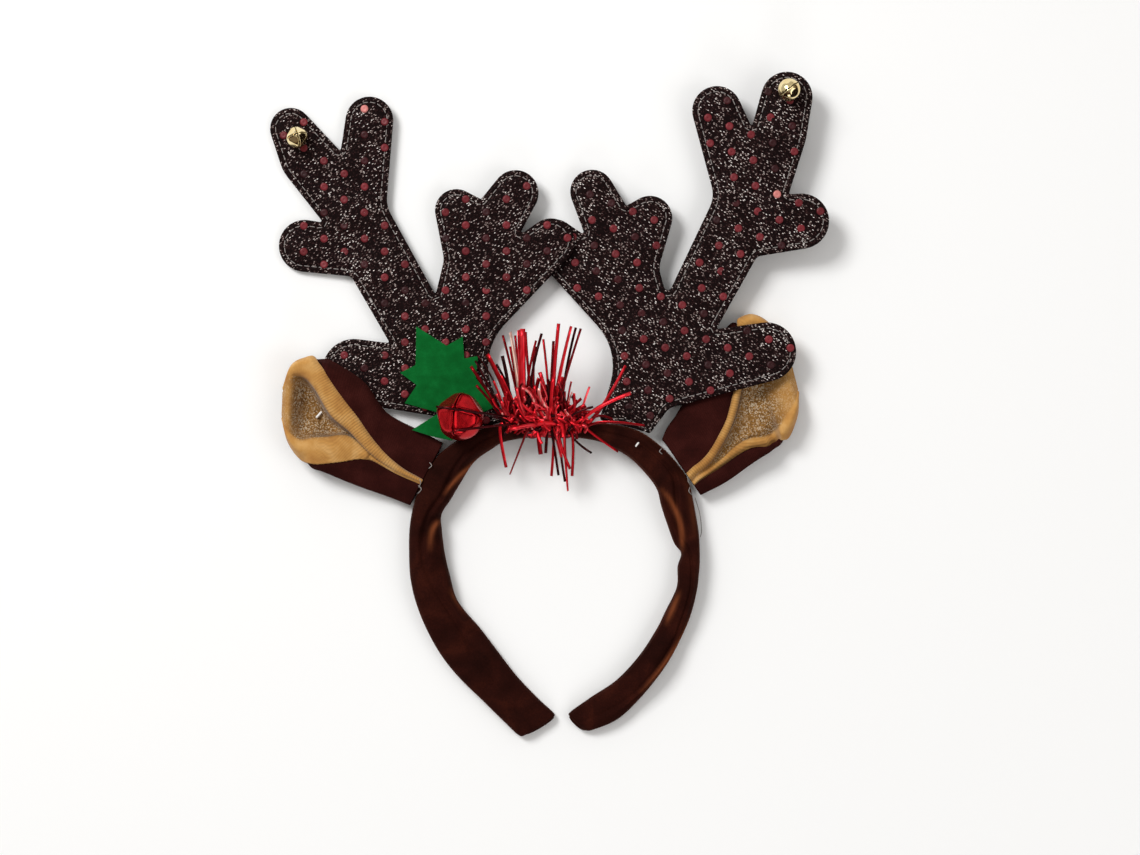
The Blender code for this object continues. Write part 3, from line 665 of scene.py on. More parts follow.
def green_felt():
    """Matt pressed fibres: two sizes of noise colour the face and roughen it."""
    made, tree, shader = new_material("green acrylic felt", "#0C6E30", 0.95, sheen_weight=0.04,
                                      sheen_roughness=0.6, specular_ior_level=0.05)
    fibres = noise(tree, FIBRE, 3.0, Distortion=1.2)
    both = mix(tree, 0.45, noise(tree, 4.0, 4.0), fibres)
    shade = ramp(tree, both, [(0.30, "#024C1A"), (0.5, "#045A22"), (0.70, "#0B6A2D")])
    colour_and_bump(tree, shader, shade, fibres, 0.6, 0.15)
    return made


felt = green_felt()

# %% Leaves
FELT_THICK, SOFT_EDGE = 1.2, 0.25
FELT_WAVE, WAVE_LENGTH = 0.10, 17.0
LEAF_STEP, LEAF_MARGIN = 1.6, 0.7
CUT_STEPS = 8
PIECE_GAP = 0.3

# spine tip x, y and the bottom of the notch after it, in mm
HOLLY_LEAF_SPINES = [
    (-53.4, 32.0, -41.0, 24.1), (-34.4, 27.8, -33.8, 18.9), (-28.2, 19.9, -29.1, 11.0),
    (-20.5, -0.5, -30.0, -4.6), (-41.5, -7.6, -45.4, -2.8), (-58.1, 0.7, -53.2, 8.1),
    (-60.0, 13.1, -53.7, 16.2),
]
SMALL_LEAF_SPINES = [
    (-55.2, -10.2, -45.8, -4.3), (-40.0, -1.0, -36.6, -5.0), (-32.0, -9.0, -35.6, -11.2),
    (-38.8, -14.5, -46.3, -13.0),
]
RED_BELL_PLACE, RED_BELL_RADIUS = (-35.0, -4.8), 9.6


def leaf_outline(spines):
    """Straight cuts from each spine tip to the notch after it and on to the next tip, with
    even points along every cut: (1-t) times one corner plus t times the next."""
    corners = np.array(spines).reshape(-1, 1, 2)
    nexts = np.roll(corners, -1, axis=0)
    t = (np.arange(CUT_STEPS) / CUT_STEPS)[None, :, None]
    return ((1 - t) * corners + t * nexts).reshape(-1, 2)


def panel_top(side_name, x):
    """Height of an antler's nominal front face at x."""
    _, pivot, tilt, _ = ANTLERS[side_name]
    return pivot[2] + (x - pivot[0]) * math.tan(math.radians(tilt)) + HALF_THICK


def leaf(node, spines, low, wave_seed):
    """A filled outline on the antler's slope, gently waved, with Solidify for the felt."""
    outline = leaf_outline(spines)
    flat, triangles = fill_outline(outline, LEAF_STEP, LEAF_MARGIN)
    pivot = (*RED_BELL_PLACE, low + FELT_THICK / 2)
    wave = FELT_WAVE * ripples(*flat.T, WAVE_LENGTH, wave_seed)
    points = tilted(np.column_stack([flat - np.array(pivot[:2]), wave]), pivot, ANTLERS["left"][2])
    piece = add_piece(f"{node}_felt", points, triangles, felt, node=node)
    add_wall(piece, FELT_THICK)
    soft = piece.modifiers.new("soft edge", "BEVEL")
    soft.width, soft.segments = SOFT_EDGE * MM, 2
    soft.limit_method, soft.angle_limit = "ANGLE", math.radians(50)


leaf_low = panel_top("left", RED_BELL_PLACE[0]) + PIECE_GAP
leaf("holly_leaf", HOLLY_LEAF_SPINES, leaf_low, 41)
leaf("small_holly_leaf", SMALL_LEAF_SPINES, leaf_low + FELT_THICK + PIECE_GAP, 42)

# %% [markdown]
# ## Jingle bells
#
# A jingle bell is pressed from thin sheet: a closed half below, and above it petals that
# are folded together and leave slots between them. Each petal is a patch of a ball whose
# side edges keep a constant distance from the slot's middle. Folding leaves the petals
# slightly flat, so the ball's radius is cut down by a few planes, and the slot's edges
# stand proud as little lips.

# %% Bell materials


def bell_metal(name, colour, dark, roughness, metallic):
    """Lacquered or plated steel: mirror-like, with soft dents that break up reflections.
    Lacquer lets less of the bare metal through, so it is less metallic."""
    made, tree, shader = new_material(name, colour, roughness, metallic=metallic)
    cloud = noise(tree, 5.0, 2.0)
    colour_and_bump(tree, shader, mix(tree, cloud, colour, dark), cloud, 0.35, 0.4)
    return made


red_lacquer = bell_metal("red lacquered steel", "#D8101C", "#7A040C", 0.2, 0.85)
brass_plate = bell_metal("pale gold plated steel", "#F6EAC0", "#E0C078", 0.12, 1.0)

# %% Bells
BELL_ROWS, BELL_COLUMNS = 64, 22
SLOT_END = math.radians(78)  # how far down from the pole the slots reach
LIP_HEIGHT, LIP_WIDTH = 0.035, 0.045  # shares of the radius


def bell(node, centre, radius, wall, slot_width, petals, lean, turn, flats, finish):
    """One patch a petal, from the pole where the slots cross down to the opposite pole.
    At the angle down from the pole where the slot is open, a petal's sides stand off the
    slot's middle by the angle whose sine is half the width over the ring's radius. flats
    are (turn, down, depth): planes that cut the ball by that share of its radius."""
    down = np.linspace(0, 1, BELL_ROWS) ** 1.1 * np.pi
    ring = np.maximum(np.sin(down), 1e-6)
    half_slot = slot_width / 2 / radius * ease((SLOT_END - down) / 0.12)
    open_angle = np.arcsin(np.clip(half_slot / ring, 0, math.sin(np.pi / petals)))
    points, faces = [], []
    for petal in range(petals):
        first = 2 * np.pi * petal / petals
        share = np.linspace(0, 1, BELL_COLUMNS)[None, :]
        start = (first + open_angle)[:, None]
        end = (first + 2 * np.pi / petals - open_angle)[:, None]
        round_ = start + share * (end - start)
        unit = np.stack([np.sin(down)[:, None] * np.cos(round_), np.sin(down)[:, None] * np.sin(round_),
                         np.cos(down)[:, None] * np.ones_like(round_)], -1)
        reach = np.ones(unit.shape[:2])
        for flat_turn, flat_down, depth in flats:
            a, b = math.radians(flat_turn), math.radians(flat_down)
            normal = np.array([math.sin(b) * math.cos(a), math.sin(b) * math.sin(a), math.cos(b)])
            plane = (1 - depth) / np.maximum(unit @ normal, 0.05)
            reach = -np.logaddexp(-60 * reach, -60 * plane) / 60
        from_slot = np.minimum(share, 1 - share) * (end - start) * ring[:, None] * radius
        lip = LIP_HEIGHT * np.exp(-((from_slot / (LIP_WIDTH * radius)) ** 2))
        lip = lip * ease((SLOT_END - down) / 0.2)[:, None]
        points.append((unit * (reach + lip)[..., None] * radius).reshape(-1, 3))
        faces.append(grid_faces(BELL_ROWS, BELL_COLUMNS, first=petal * BELL_ROWS * BELL_COLUMNS)[:, ::-1])
    up = Vector((*lean, 1.0)).normalized()
    pole = Vector((0, 0, 1)).rotation_difference(up).to_matrix()
    spin = np.array([[math.cos(turn), -math.sin(turn), 0], [math.sin(turn), math.cos(turn), 0], [0, 0, 1]])
    placed = np.vstack(points) @ (np.array(pole) @ spin).T + np.array(centre)
    piece = add_piece(f"{node}_metal", placed, faces, finish, node=node, weld=True)
    add_wall(piece, wall, offset=-1.0)


def on_antler(side_name, place, radius):
    """Centre of a ball that lies a gap above the antler's face."""
    return (*place, panel_top(side_name, place[0]) + PIECE_GAP + radius)


# turn, how far down from the pole, and depth of each plane that flattens a bell
PETAL_FLATS = [(45 + 90 * k, 40, 0.12) for k in range(4)]
SIDE_FLATS = [
    (135, 78, 0.09), (95, 80, 0.03), (41, 78, 0.09), (-46, 80, 0.06), (-101, 82, 0.05), (205, 80, 0.08),
]
GOLD_FLATS = [(45 + 90 * k, 44, 0.11) for k in range(4)] + [(45 + 90 * k, 84, 0.13) for k in range(4)]
ROUND_FLATS = [(90, 40, 0.06), (270, 40, 0.08)]

red_centre = (*RED_BELL_PLACE, leaf_low + 2 * (FELT_THICK + PIECE_GAP) + RED_BELL_RADIUS)
bell("red_bell", red_centre, RED_BELL_RADIUS, wall=0.6, slot_width=1.0, petals=4, lean=(-0.22, 0.385),
     turn=math.radians(-9), flats=PETAL_FLATS + SIDE_FLATS, finish=red_lacquer)
bell("left_gold_bell", on_antler("left", (-101.8, 108.8), 4.4), 4.4, wall=0.4, slot_width=0.6, petals=4,
     lean=(0.11, 0.30), turn=math.radians(16.5), flats=GOLD_FLATS, finish=brass_plate)
bell("right_gold_bell", on_antler("right", (97.4, 126.9), 4.6), 4.6, wall=0.4, slot_width=0.6, petals=2,
     lean=(0.13, 0.18), turn=math.radians(36.5), flats=ROUND_FLATS, finish=brass_plate)

# %% [markdown]
# ## The hoop
#
# The hoop is a plastic band inside a sleeve of velvet. The sleeve is a little too long and
# wide for it, so it lies in lengthwise folds and pinches at the bends. Its surface is a
# section carried along the hoop: two points of each row give the outer and inner edge.
# The folds are then pressed into the top along short curves.

# %% Velvet material


def brown_velvet():
    """Short dense pile: very dark face on, with a warm sheen where it turns away. Lighter brown
    stripes are painted along the folds as highlight, from the mark that press_folds returns."""
    made, tree, shader = new_material("brown velvet", "#2A0D08", 0.9, sheen_weight=0.3,
                                      sheen_roughness=0.35, sheen_tint=linear("#8A4830"),
                                      specular_ior_level=0.05)
    pile = noise(tree, 0.6, 2.0)
    both = mix(tree, 0.3, noise(tree, 14.0, 4.0, Distortion=0.8), pile)
    shade = ramp(tree, both, [(0.32, "#1B0704"), (0.5, "#270C07"), (0.68, "#38150C")])
    # painted highlight: a lighter brown mixed in along the folds
    colour_and_bump(tree, shader, mix(tree, mark(tree, "fold_highlight"), shade, "#8A4A2A"), pile, 0.35, 0.12)
    return made


velvet = brown_velvet()

# %% Hoop
# outer x, y, inner x, y, depth in mm, where the crease lies across, and its share of depth
HOOP_SECTIONS = [
    (-8.6, -134.6, 2.6, -127.6, 4.0, 0.2, 0.03),
    (-11.6, -135.0, 2.4, -125.8, 5.2, 0.2, 0.05),
    (-17.8, -129.3, -4.3, -119.5, 6.0, 0.2, 0.05),
    (-26.4, -120.8, -12.8, -110.5, 6.5, 0.1, 0.06),
    (-36.0, -111.4, -21.3, -99.4, 7.0, 0.0, 0.08),
    (-43.5, -102.1, -28.3, -90.3, 7.0, -0.3, 0.12),
    (-49.4, -91.5, -34.0, -83.8, 8.0, -0.4, 0.14),
    (-53.5, -81.3, -37.6, -78.1, 8.5, -0.3, 0.12),
    (-55.9, -71.2, -39.8, -69.9, 9.0, 0.0, 0.08),
    (-56.5, -61.0, -41.9, -61.0, 9.5, 0.2, 0.10),
    (-56.3, -50.4, -43.1, -51.6, 10.0, 0.1, 0.16),
    (-54.7, -41.1, -43.3, -44.7, 10.5, -0.2, 0.14),
    (-51.4, -31.7, -39.6, -38.6, 11.0, -0.4, 0.12),
    (-46.1, -22.4, -35.0, -30.9, 12.0, -0.3, 0.12),
    (-40.1, -16.7, -29.9, -23.2, 12.5, -0.2, 0.10),
    (-31.5, -11.4, -23.0, -18.1, 13.0, 0.0, 0.06),
    (-17.3, -7.7, -16.1, -14.6, 13.5, 0.0, 0.04),
    (2.2, -6.5, 1.0, -12.6, 13.5, 0.0, 0.03),
    (20.9, -7.3, 18.1, -14.2, 13.5, 0.0, 0.04),
    (30.3, -8.5, 25.8, -17.1, 13.0, 0.1, 0.06),
    (38.8, -11.4, 33.5, -21.5, 12.5, 0.2, 0.08),
    (47.4, -17.9, 40.5, -28.5, 12.0, 0.3, 0.10),
    (53.9, -25.2, 44.7, -34.6, 11.5, 0.3, 0.14),
    (57.8, -32.1, 46.6, -41.9, 11.0, 0.0, 0.16),
    (61.2, -48.8, 51.4, -55.7, 10.0, -0.4, 0.14),
    (62.0, -57.3, 54.5, -60.4, 10.0, -0.2, 0.08),
    (62.0, -65.9, 53.1, -65.9, 10.0, 0.2, 0.08),
    (60.8, -76.4, 52.7, -74.4, 9.5, 0.3, 0.12),
    (57.5, -88.2, 48.2, -84.0, 9.0, 0.4, 0.12),
    (51.4, -101.2, 44.5, -91.5, 8.5, 0.5, 0.10),
    (45.3, -110.6, 37.6, -102.1, 8.0, 0.5, 0.10),
    (36.8, -120.8, 28.3, -112.2, 7.0, 0.4, 0.08),
    (28.3, -128.5, 18.1, -119.1, 6.5, 0.2, 0.05),
    (18.5, -132.7, 9.3, -125.4, 5.4, 0.0, 0.05),
    (15.0, -133.0, 8.9, -127.2, 4.0, 0.0, 0.03),
]
HOOP_STEPS, SECTION_STEPS = 14, 5
END_BULGE = 1.0  # mm
PUCKER_LENGTH, PUCKER_HEIGHT = 9.0, 0.16

# folds: start, middle and end x, y, then groove depth and width in mm, and how strong a painted highlight
# beside the groove is
VELVET_FOLDS = [
    (-22.0, -17.5, -33.0, -24.5, -42.5, -34.5, 1.1, 1.3, 0.8),  # left, under the bell
    (-43.0, -45.5, -48.0, -49.0, -49.5, -58.0, 1.8, 1.6, 0.55),  # left, flap over the inner face
    (-46.0, -60.0, -44.0, -68.0, -42.5, -76.0, 0.7, 2.4, 0.0),
    (-40.5, -77.0, -37.0, -82.0, -32.5, -87.0, 0.8, 1.6, 0.6),  # left, bulge at the inner bend
    (-50.0, -88.0, -38.0, -101.0, -26.0, -112.0, 0.5, 3.0, 0.0),
    (45.5, -36.0, 51.5, -46.0, 53.0, -58.5, 1.6, 1.4, 0.75),  # right, below the corner
    (54.0, -28.0, 56.5, -40.0, 57.5, -52.0, 0.6, 2.2, 0.2),
    (52.0, -76.0, 49.5, -82.0, 47.0, -88.0, 1.4, 1.3, 0.55),  # right, small flap
    (60.5, -73.5, 55.0, -91.0, 37.5, -115.0, 1.0, 1.5, 0.8),  # right, long light line
    (36.0, -24.0, 27.0, -17.5, 14.0, -13.0, 0.7, 1.2, 0.6),  # over the top, inner edge
]


def hoop_section(crease_at, crease):
    """Closed section for each row: across from -1 inside to 1 outside, and up from 0 to 1."""
    flat = np.ones_like(crease_at)
    corners = np.array([
        (-0.80 * flat, 0.0 * flat), (0.0 * flat, 0.0 * flat), (0.80 * flat, 0.0 * flat),
        (0.97 * flat, 0.16 * flat), (1.00 * flat, 0.45 * flat), (0.90 * flat, 0.78 * flat),
        (0.66 * flat, 0.95 * flat), (crease_at + 0.26, 1.0 * flat), (crease_at, 1.0 - crease),
        (crease_at - 0.26, 1.0 - 0.3 * crease), (-0.74 * flat, 0.90 * flat), (-0.92 * flat, 0.74 * flat),
        (-1.00 * flat, 0.45 * flat), (-0.97 * flat, 0.16 * flat),
    ])
    looped = np.concatenate([corners[-2:], corners, corners[:2]])
    fine = smooth_rows(looped.reshape(len(looped), -1), SECTION_STEPS)
    fine = fine[2 * SECTION_STEPS : (2 + len(corners)) * SECTION_STEPS]
    return fine.reshape(len(fine), 2, -1).transpose(2, 0, 1)


def press_folds(points, folds):
    """Each fold is a groove of depth d and width w along a curve through three points: d
    times exp(-(s/w)^2) at a distance s from it, with a lip beside it half as high. It
    fades at both ends. Only the upper half of the hoop moves. The second result is a
    painted highlight: a lighter stripe just beside each groove, for the velvet's colour."""
    points, fold_highlight = points.copy(), np.zeros(len(points))
    for ax, ay, bx, by, cx, cy, depth, width, highlight_share in folds:
        t = np.linspace(0, 1, 40)[:, None]
        a, b, c = np.array([(ax, ay), (bx, by), (cx, cy)])
        curve = (1 - t) * (1 - 2 * t) * a + 4 * t * (1 - t) * b + t * (2 * t - 1) * c
        ahead = np.gradient(curve, axis=0)
        normal = np.column_stack([-ahead[:, 1], ahead[:, 0]]) / np.linalg.norm(ahead, axis=1)[:, None]
        away = points[:, None, :2] - curve[None]
        nearest = np.linalg.norm(away, axis=2).argmin(axis=1)
        offset = away[np.arange(len(points)), nearest]
        side = (offset * normal[nearest]).sum(axis=1)
        past = np.linalg.norm(offset, axis=1) ** 2 - side**2
        fade = np.sin(np.pi * np.clip(t[nearest, 0], 0.02, 0.98)) ** 0.5 * np.exp(-past / width**2)
        fade = fade * ease((points[:, 2] - 4.0) / 3.0)
        lip = np.exp(-(((side - 1.7 * width) / width) ** 2))
        points[:, 2] += depth * fade * (0.5 * lip - np.exp(-((side / width) ** 2)))
        # painted highlight: a lighter stripe just beside the groove, stored for the velvet's colour
        fold_highlight = np.maximum(fold_highlight, highlight_share * fade * np.exp(-(((side - 1.2 * width) / (0.7 * width)) ** 2)))
    return points, fold_highlight


def hoop():
    """The section placed along the rows, closed by rings that shrink over a rounded end."""
    outer_x, outer_y, inner_x, inner_y, depth, crease_at, crease = smooth_rows(HOOP_SECTIONS, HOOP_STEPS).T
    outer, inner = np.column_stack([outer_x, outer_y]), np.column_stack([inner_x, inner_y])
    middle, half = (outer + inner) / 2, (outer - inner) / 2
    section = hoop_section(crease_at, crease)
    flat = middle[:, None] + section[..., :1] * half[:, None]
    rings = np.dstack([flat, np.maximum(section[..., 1], 0.0) * depth[:, None]])
    caps = []
    for end, inward in ((0, 1), (-1, -1)):
        heading = middle[end] - middle[end + inward]
        heading = np.array([*heading / np.linalg.norm(heading), 0.0])
        centre = rings[end].mean(axis=0)
        turns = np.radians([25, 50, 70, 90])[:, None, None]
        cap = centre + (rings[end] - centre) * np.cos(turns) + heading * END_BULGE * np.sin(turns)
        caps.append(cap[::-1] if end == 0 else cap)
    rings = np.concatenate([caps[0], rings, caps[1]])
    points = rings.reshape(-1, 3)
    pucker = ripples(points[:, 0], points[:, 1], PUCKER_LENGTH, 61) * PUCKER_HEIGHT
    points[:, 2] += pucker * ease((points[:, 2] - 1.0) / 4.0)
    points, fold_highlight = press_folds(points, VELVET_FOLDS)
    piece = add_piece("headband_velvet", points, grid_faces(*rings.shape[:2], wrap=True), velvet,
                      node="headband", weld=True, marks={"fold_highlight": fold_highlight})


hoop()

# %% [markdown]
# ## Ears
#
# Each ear is a folded pocket: a shell of dark brown velour whose edges fold to the front,
# and a tan jersey lining turned over the opening as a ribbed roll. Both are sheets across
# a table of lines. A line runs from the top edge of the ear to its low edge, and shares
# along it say where the roll, the hollow and the lower flap begin and end.

# %% Ear cloth materials
KNIT_ROW = 0.75  # mm between the velour's rows
LOOP = 0.45  # mm between the jersey's loops


def brown_velour():
    """Brushed knit: dark wine brown, with faint rows of the knit under the pile."""
    made, tree, shader = new_material("brown velour knit", "#32130F", 0.95, sheen_weight=0.12,
                                      sheen_roughness=0.5, sheen_tint=linear("#7A3A30"),
                                      specular_ior_level=0.05)
    surface = add_node(tree, "UVMap", uv_map="UVMap").outputs[0]
    rows = add_node(tree, "TexWave", {
        "Vector": surface,
        "Scale": 2 * math.pi / (20 * KNIT_ROW),
        "Distortion": 0.6,
        "Detail": 1.0,
        "Detail Scale": 2.0,
    }, bands_direction="X").outputs["Fac"]
    pile = noise(tree, 0.5, 2.0)
    both = mix(tree, 0.35, noise(tree, 10.0, 4.0), pile)
    shade = ramp(tree, both, [(0.32, "#220A08"), (0.5, "#30100D"), (0.68, "#3E1915")])
    faint = mix(tree, 0.25, shade, mix(tree, rows, shade, "#1A0807"))
    colour_and_bump(tree, shader, faint, mix(tree, 0.5, rows, pile), 0.4, 0.15)
    return made


def tan_jersey():
    """Thin yarn-dyed jersey. Shade is painted in: the rib mark darkens the grooves, the fold
    mark darkens the crease lines beside a roll, and the hollow is painted browner. There the
    knit is stretched open, and pale specks of the layer beneath show through."""
    made, tree, shader = new_material("tan ribbed jersey", "#D6A45E", 0.9, sheen_weight=0.15,
                                      sheen_roughness=0.5, specular_ior_level=0.15)
    place = add_node(tree, "TexCoord").outputs["Object"]
    hollow = mark(tree, "hollow")
    plain = ramp(tree, noise(tree, 7.0, 4.0), [(0.35, "#AE7A3E"), (0.5, "#BF8C4A"), (0.66, "#CC9E60")])
    # painted shade: darker brown in the rib grooves and over the hollow
    shaded_tone = mix(tree, hollow, mix(tree, mark(tree, "rib"), plain, "#7E5628"), "#8C6330")
    loops = add_node(tree, "TexVoronoi", {"Vector": place, "Scale": 1 / (LOOP * MM), "Randomness": 0.7})
    speck = ramp(tree, loops.outputs["Color"],
                 [(0.24, "#563A1E"), (0.40, "#7C5628"), (0.58, "#98703C"), (0.78, "#C6B8A0")])
    spread = rescale(tree, noise(tree, 7.0, 1.0), 0.3, 0.6, 0.3, 0.8)
    amount = add_node(tree, "Math", {0: spread, 1: hollow}, operation="MULTIPLY").outputs[0]
    # painted shade: the fold mark darkens the crease lines to a dark brown
    creased = mix(tree, mark(tree, "fold"), mix(tree, amount, shaded_tone, speck), "#43290F")
    colour_and_bump(tree, shader, creased, loops.outputs["Distance"], 0.5, 0.15)
    return made


velour = brown_velour()
jersey = tan_jersey()

# %% Ears
EAR_COLUMNS = ("top_x", "top_y", "low_x", "low_y", "rim_from", "rim_to", "flap_from", "flap_to",
               "rim", "flap", "floor", "lift")
# a row for each line across the ear, from the base on the hoop to the tip: its ends in mm,
# the shares where roll and flap begin and end, and heights of roll, flap, hollow and back
LEFT_EAR_LINES = [
    (-42.9, -16.0, -56.0, -40.5, 0.59, 0.625, 0.645, 0.66, 8.6, 8.4, 7.6, 1.2),
    (-52.2, -11.0, -66.1, -36.6, 0.55, 0.62, 0.64, 0.66, 9.8, 9.0, 8.2, 3.5),
    (-65.7, -3.5, -75.4, -33.3, 0.40, 0.55, 0.575, 0.64, 12.4, 10.6, 9.4, 6.0),
    (-74.2, 8.1, -84.8, -29.7, 0.32, 0.50, 0.57, 0.83, 14.4, 11.8, 7.4, 6.3),
    (-84.0, 15.2, -91.7, -26.8, 0.21, 0.45, 0.69, 0.94, 15.4, 12.4, 3.6, 6.3),
    (-92.7, 19.4, -96.2, -25.4, 0.05, 0.28, 0.75, 0.97, 15.2, 12.4, 3.2, 5.0),
    (-98.2, 18.8, -101.0, -21.1, 0.00, 0.17, 0.84, 1.00, 14.6, 12.4, 4.2, 4.0),
    (-103.5, 15.9, -105.5, -14.2, 0.00, 0.14, 0.88, 1.00, 14.0, 12.2, 12.4, 3.0),
    (-107.1, 7.3, -107.7, -6.1, 0.00, 0.14, 0.88, 1.00, 9.0, 8.6, 9.6, 3.0),
]
RIGHT_EAR_LINES = [
    (47.2, -14.4, 62.3, -36.4, 0.62, 0.71, 0.78, 0.84, 7.8, 8.6, 6.6, 0.9),
    (49.4, -9.4, 65.3, -35.0, 0.62, 0.70, 0.77, 0.83, 7.8, 9.4, 6.6, 0.9),
    (54.1, -2.4, 73.0, -30.9, 0.60, 0.68, 0.76, 0.83, 8.0, 10.2, 5.4, 0.9),
    (63.2, 16.3, 84.0, -23.2, 0.50, 0.575, 0.80, 0.88, 8.0, 11.2, 3.2, 0.9),
    (72.2, 29.7, 90.5, -19.1, 0.28, 0.385, 0.88, 0.96, 7.2, 11.6, 2.8, 0.9),
    (78.3, 35.0, 94.9, -16.3, 0.00, 0.16, 0.89, 0.97, 7.2, 11.4, 2.8, 0.9),
    (84.4, 36.4, 98.2, -12.6, 0.00, 0.14, 0.87, 1.00, 7.4, 11.0, 5.0, 0.9),
    (91.3, 31.7, 101.4, -4.1, 0.00, 0.14, 0.88, 1.00, 7.6, 10.0, 7.8, 0.9),
    (98.4, 20.0, 102.2, 4.3, 0.00, 0.14, 0.88, 1.00, 5.0, 6.0, 5.6, 0.9),
]
EAR_BACK = 0.7
LINING_WALL, SHELL_WALL = 1.0, 1.1
RIB_PITCH, RIB_HEIGHT = 1.0, 0.11
EAR_ROWS = 260
SHELL_LINES, SHELL_ROWS = 8, 150  # the shell ends before the turned tip
LINING_LUMP, LINING_LUMP_LENGTH = 0.25, 13.0
SHELL_LUMP, SHELL_LUMP_LENGTH = 0.22, 12.0
ROW_STEPS = 40
SHARE_STEPS = 8


def even_lines(lines, by, rows):
    """The ear's lines on smooth curves, spaced evenly along the path of the share `by`."""
    fine = smooth_rows(lines, ROW_STEPS)
    share = fine[:, EAR_COLUMNS.index(by), None]
    path = fine[:, :2] + share * (fine[:, 2:4] - fine[:, :2])
    run = np.concatenate([[0], np.cumsum(np.linalg.norm(np.diff(path, axis=0), axis=1))])
    at = np.linspace(0, run[-1], rows)
    even = np.column_stack([np.interp(at, run, fine[:, k]) for k in range(fine.shape[1])])
    return dict(zip(EAR_COLUMNS, even.T)), at


def lay_profile(rows, profile):
    """A sheet whose rows follow (share, height) profiles across the ear's lines, rounded
    by Catmull-Rom curves between the profile's corners."""
    share = np.array([s for s, _ in profile])
    height = np.array([h for _, h in profile])
    share = smooth_rows(share, SHARE_STEPS).T[..., None]
    height = smooth_rows(height, SHARE_STEPS).T[..., None]
    top = np.column_stack([rows["top_x"], rows["top_y"]])[:, None]
    low = np.column_stack([rows["low_x"], rows["low_y"]])[:, None]
    return np.dstack([top + share * (low - top), height])


def lining_profile(r):
    """Corners of the lining: tucked into the seam, over the roll, steeply into the hollow,
    across its floor, up under the lower flap and over it to its seam."""
    rolled = 1 - ease((r["rim_from"] - 0.005) / 0.05)
    closed = ease((r["flap_to"] - 0.965) / 0.03)
    narrow = 1 - ease((r["flap_to"] - r["flap_from"] - 0.07) / 0.03)
    start = (1 - rolled) * (r["rim_from"] + 0.01)
    end = r["flap_to"] - 0.01 * (1 - closed)
    rim, floor = r["rim"], r["floor"]
    flap = r["flap"] + narrow * (floor + 0.2 - r["flap"])
    hollow = r["flap_from"] - r["rim_to"]
    width = r["rim_to"] - start
    open_ = ease((rim - floor - 0.5) / 4.0)
    return [
        (start + 0.02 * width, rim - 1.3 - rolled * 0.45 * rim),
        (start, rim - 0.5 - rolled * 0.18 * rim),
        (start + 0.22 * width, rim + 0.55),
        (start + 0.52 * width, rim + 0.8),
        (start + 0.84 * width, rim + 0.35),
        (r["rim_to"] + 0.01 * hollow, rim - 0.9 * open_),
        (r["rim_to"] + 0.05 * hollow, rim - 0.35 * open_ * (rim - floor)),
        (r["rim_to"] + 0.16 * hollow, floor + 0.30 * (rim - floor)),
        (r["rim_to"] + 0.32 * hollow, floor + 0.08 * (rim - floor)),
        (r["rim_to"] + 0.50 * hollow, floor),
        (r["rim_to"] + 0.70 * hollow, floor + 0.10 * (flap - floor)),
        (r["rim_to"] + 0.86 * hollow, floor + 0.45 * (flap - floor)),
        (r["rim_to"] + 0.95 * hollow, floor + 0.82 * (flap - floor)),
        (r["flap_from"], flap),
        ((r["flap_from"] + end) / 2, flap + 0.4),
        (end, flap - 0.4 - closed * 0.25 * flap),
    ]


def shell_profile(r):
    """Corners of the shell: from the upper seam over the top edge, along the back and up
    over the low edge to the lower seam. Near the tip the flaps shrink to low stubs."""
    rolled = 1 - ease((r["rim_from"] - 0.005) / 0.12)
    closed = ease((r["flap_to"] - 0.955) / 0.04)
    start = np.maximum(r["rim_from"] + 0.012, 0.02) + 0.03 * rolled
    end = np.minimum(r["flap_to"] - 0.005, 0.98) - 0.03 * closed
    shoulder = np.minimum(r["rim"] - 3.2, 10.0)
    low_shoulder = np.minimum(r["flap"] - 3.2, 9.0)
    lift = r["lift"]
    high = (1 - rolled) * (r["rim"] - 0.9) + rolled * (lift + 0.35)
    puff = (1 - rolled) * (r["rim"] - 0.6) + rolled * (lift + 0.3)
    side = (1 - rolled) * shoulder + rolled * (lift + 0.2)
    low_high = (1 - closed) * (r["flap"] - 0.9) + closed * (EAR_BACK + 0.35)
    low_puff = (1 - closed) * (r["flap"] - 1.2) + closed * (EAR_BACK + 0.3)
    low_side = (1 - closed) * low_shoulder + closed * (EAR_BACK + 0.2)
    return [
        (start, high),
        (0.62 * start + 0.01, puff),
        (0.25 * start + 0.015 + 0.02 * rolled, 0.65 * puff + 0.35 * side),
        (0.022 + 0.03 * rolled, side),
        (0.0 + 0.04 * rolled, np.maximum(0.5 * side, lift)),
        (0.05 + 0.02 * rolled, lift),
        (0.34 * np.ones_like(lift), lift),
        (0.46 * np.ones_like(lift), EAR_BACK + 0.25 * (lift - EAR_BACK)),
        (0.60 * np.ones_like(lift), EAR_BACK * np.ones_like(lift)),
        (0.90 * np.ones_like(lift), EAR_BACK * np.ones_like(lift)),
        (0.975 - 0.02 * closed, 0.35 * low_side + 0.4),
        (0.99 - 0.02 * closed, low_side),
        (0.75 + 0.25 * end - 0.02 * closed, 0.6 * low_puff + 0.4 * low_side),
        (0.4 + 0.6 * end - 0.02 * closed, low_puff),
        (end, low_high),
    ]


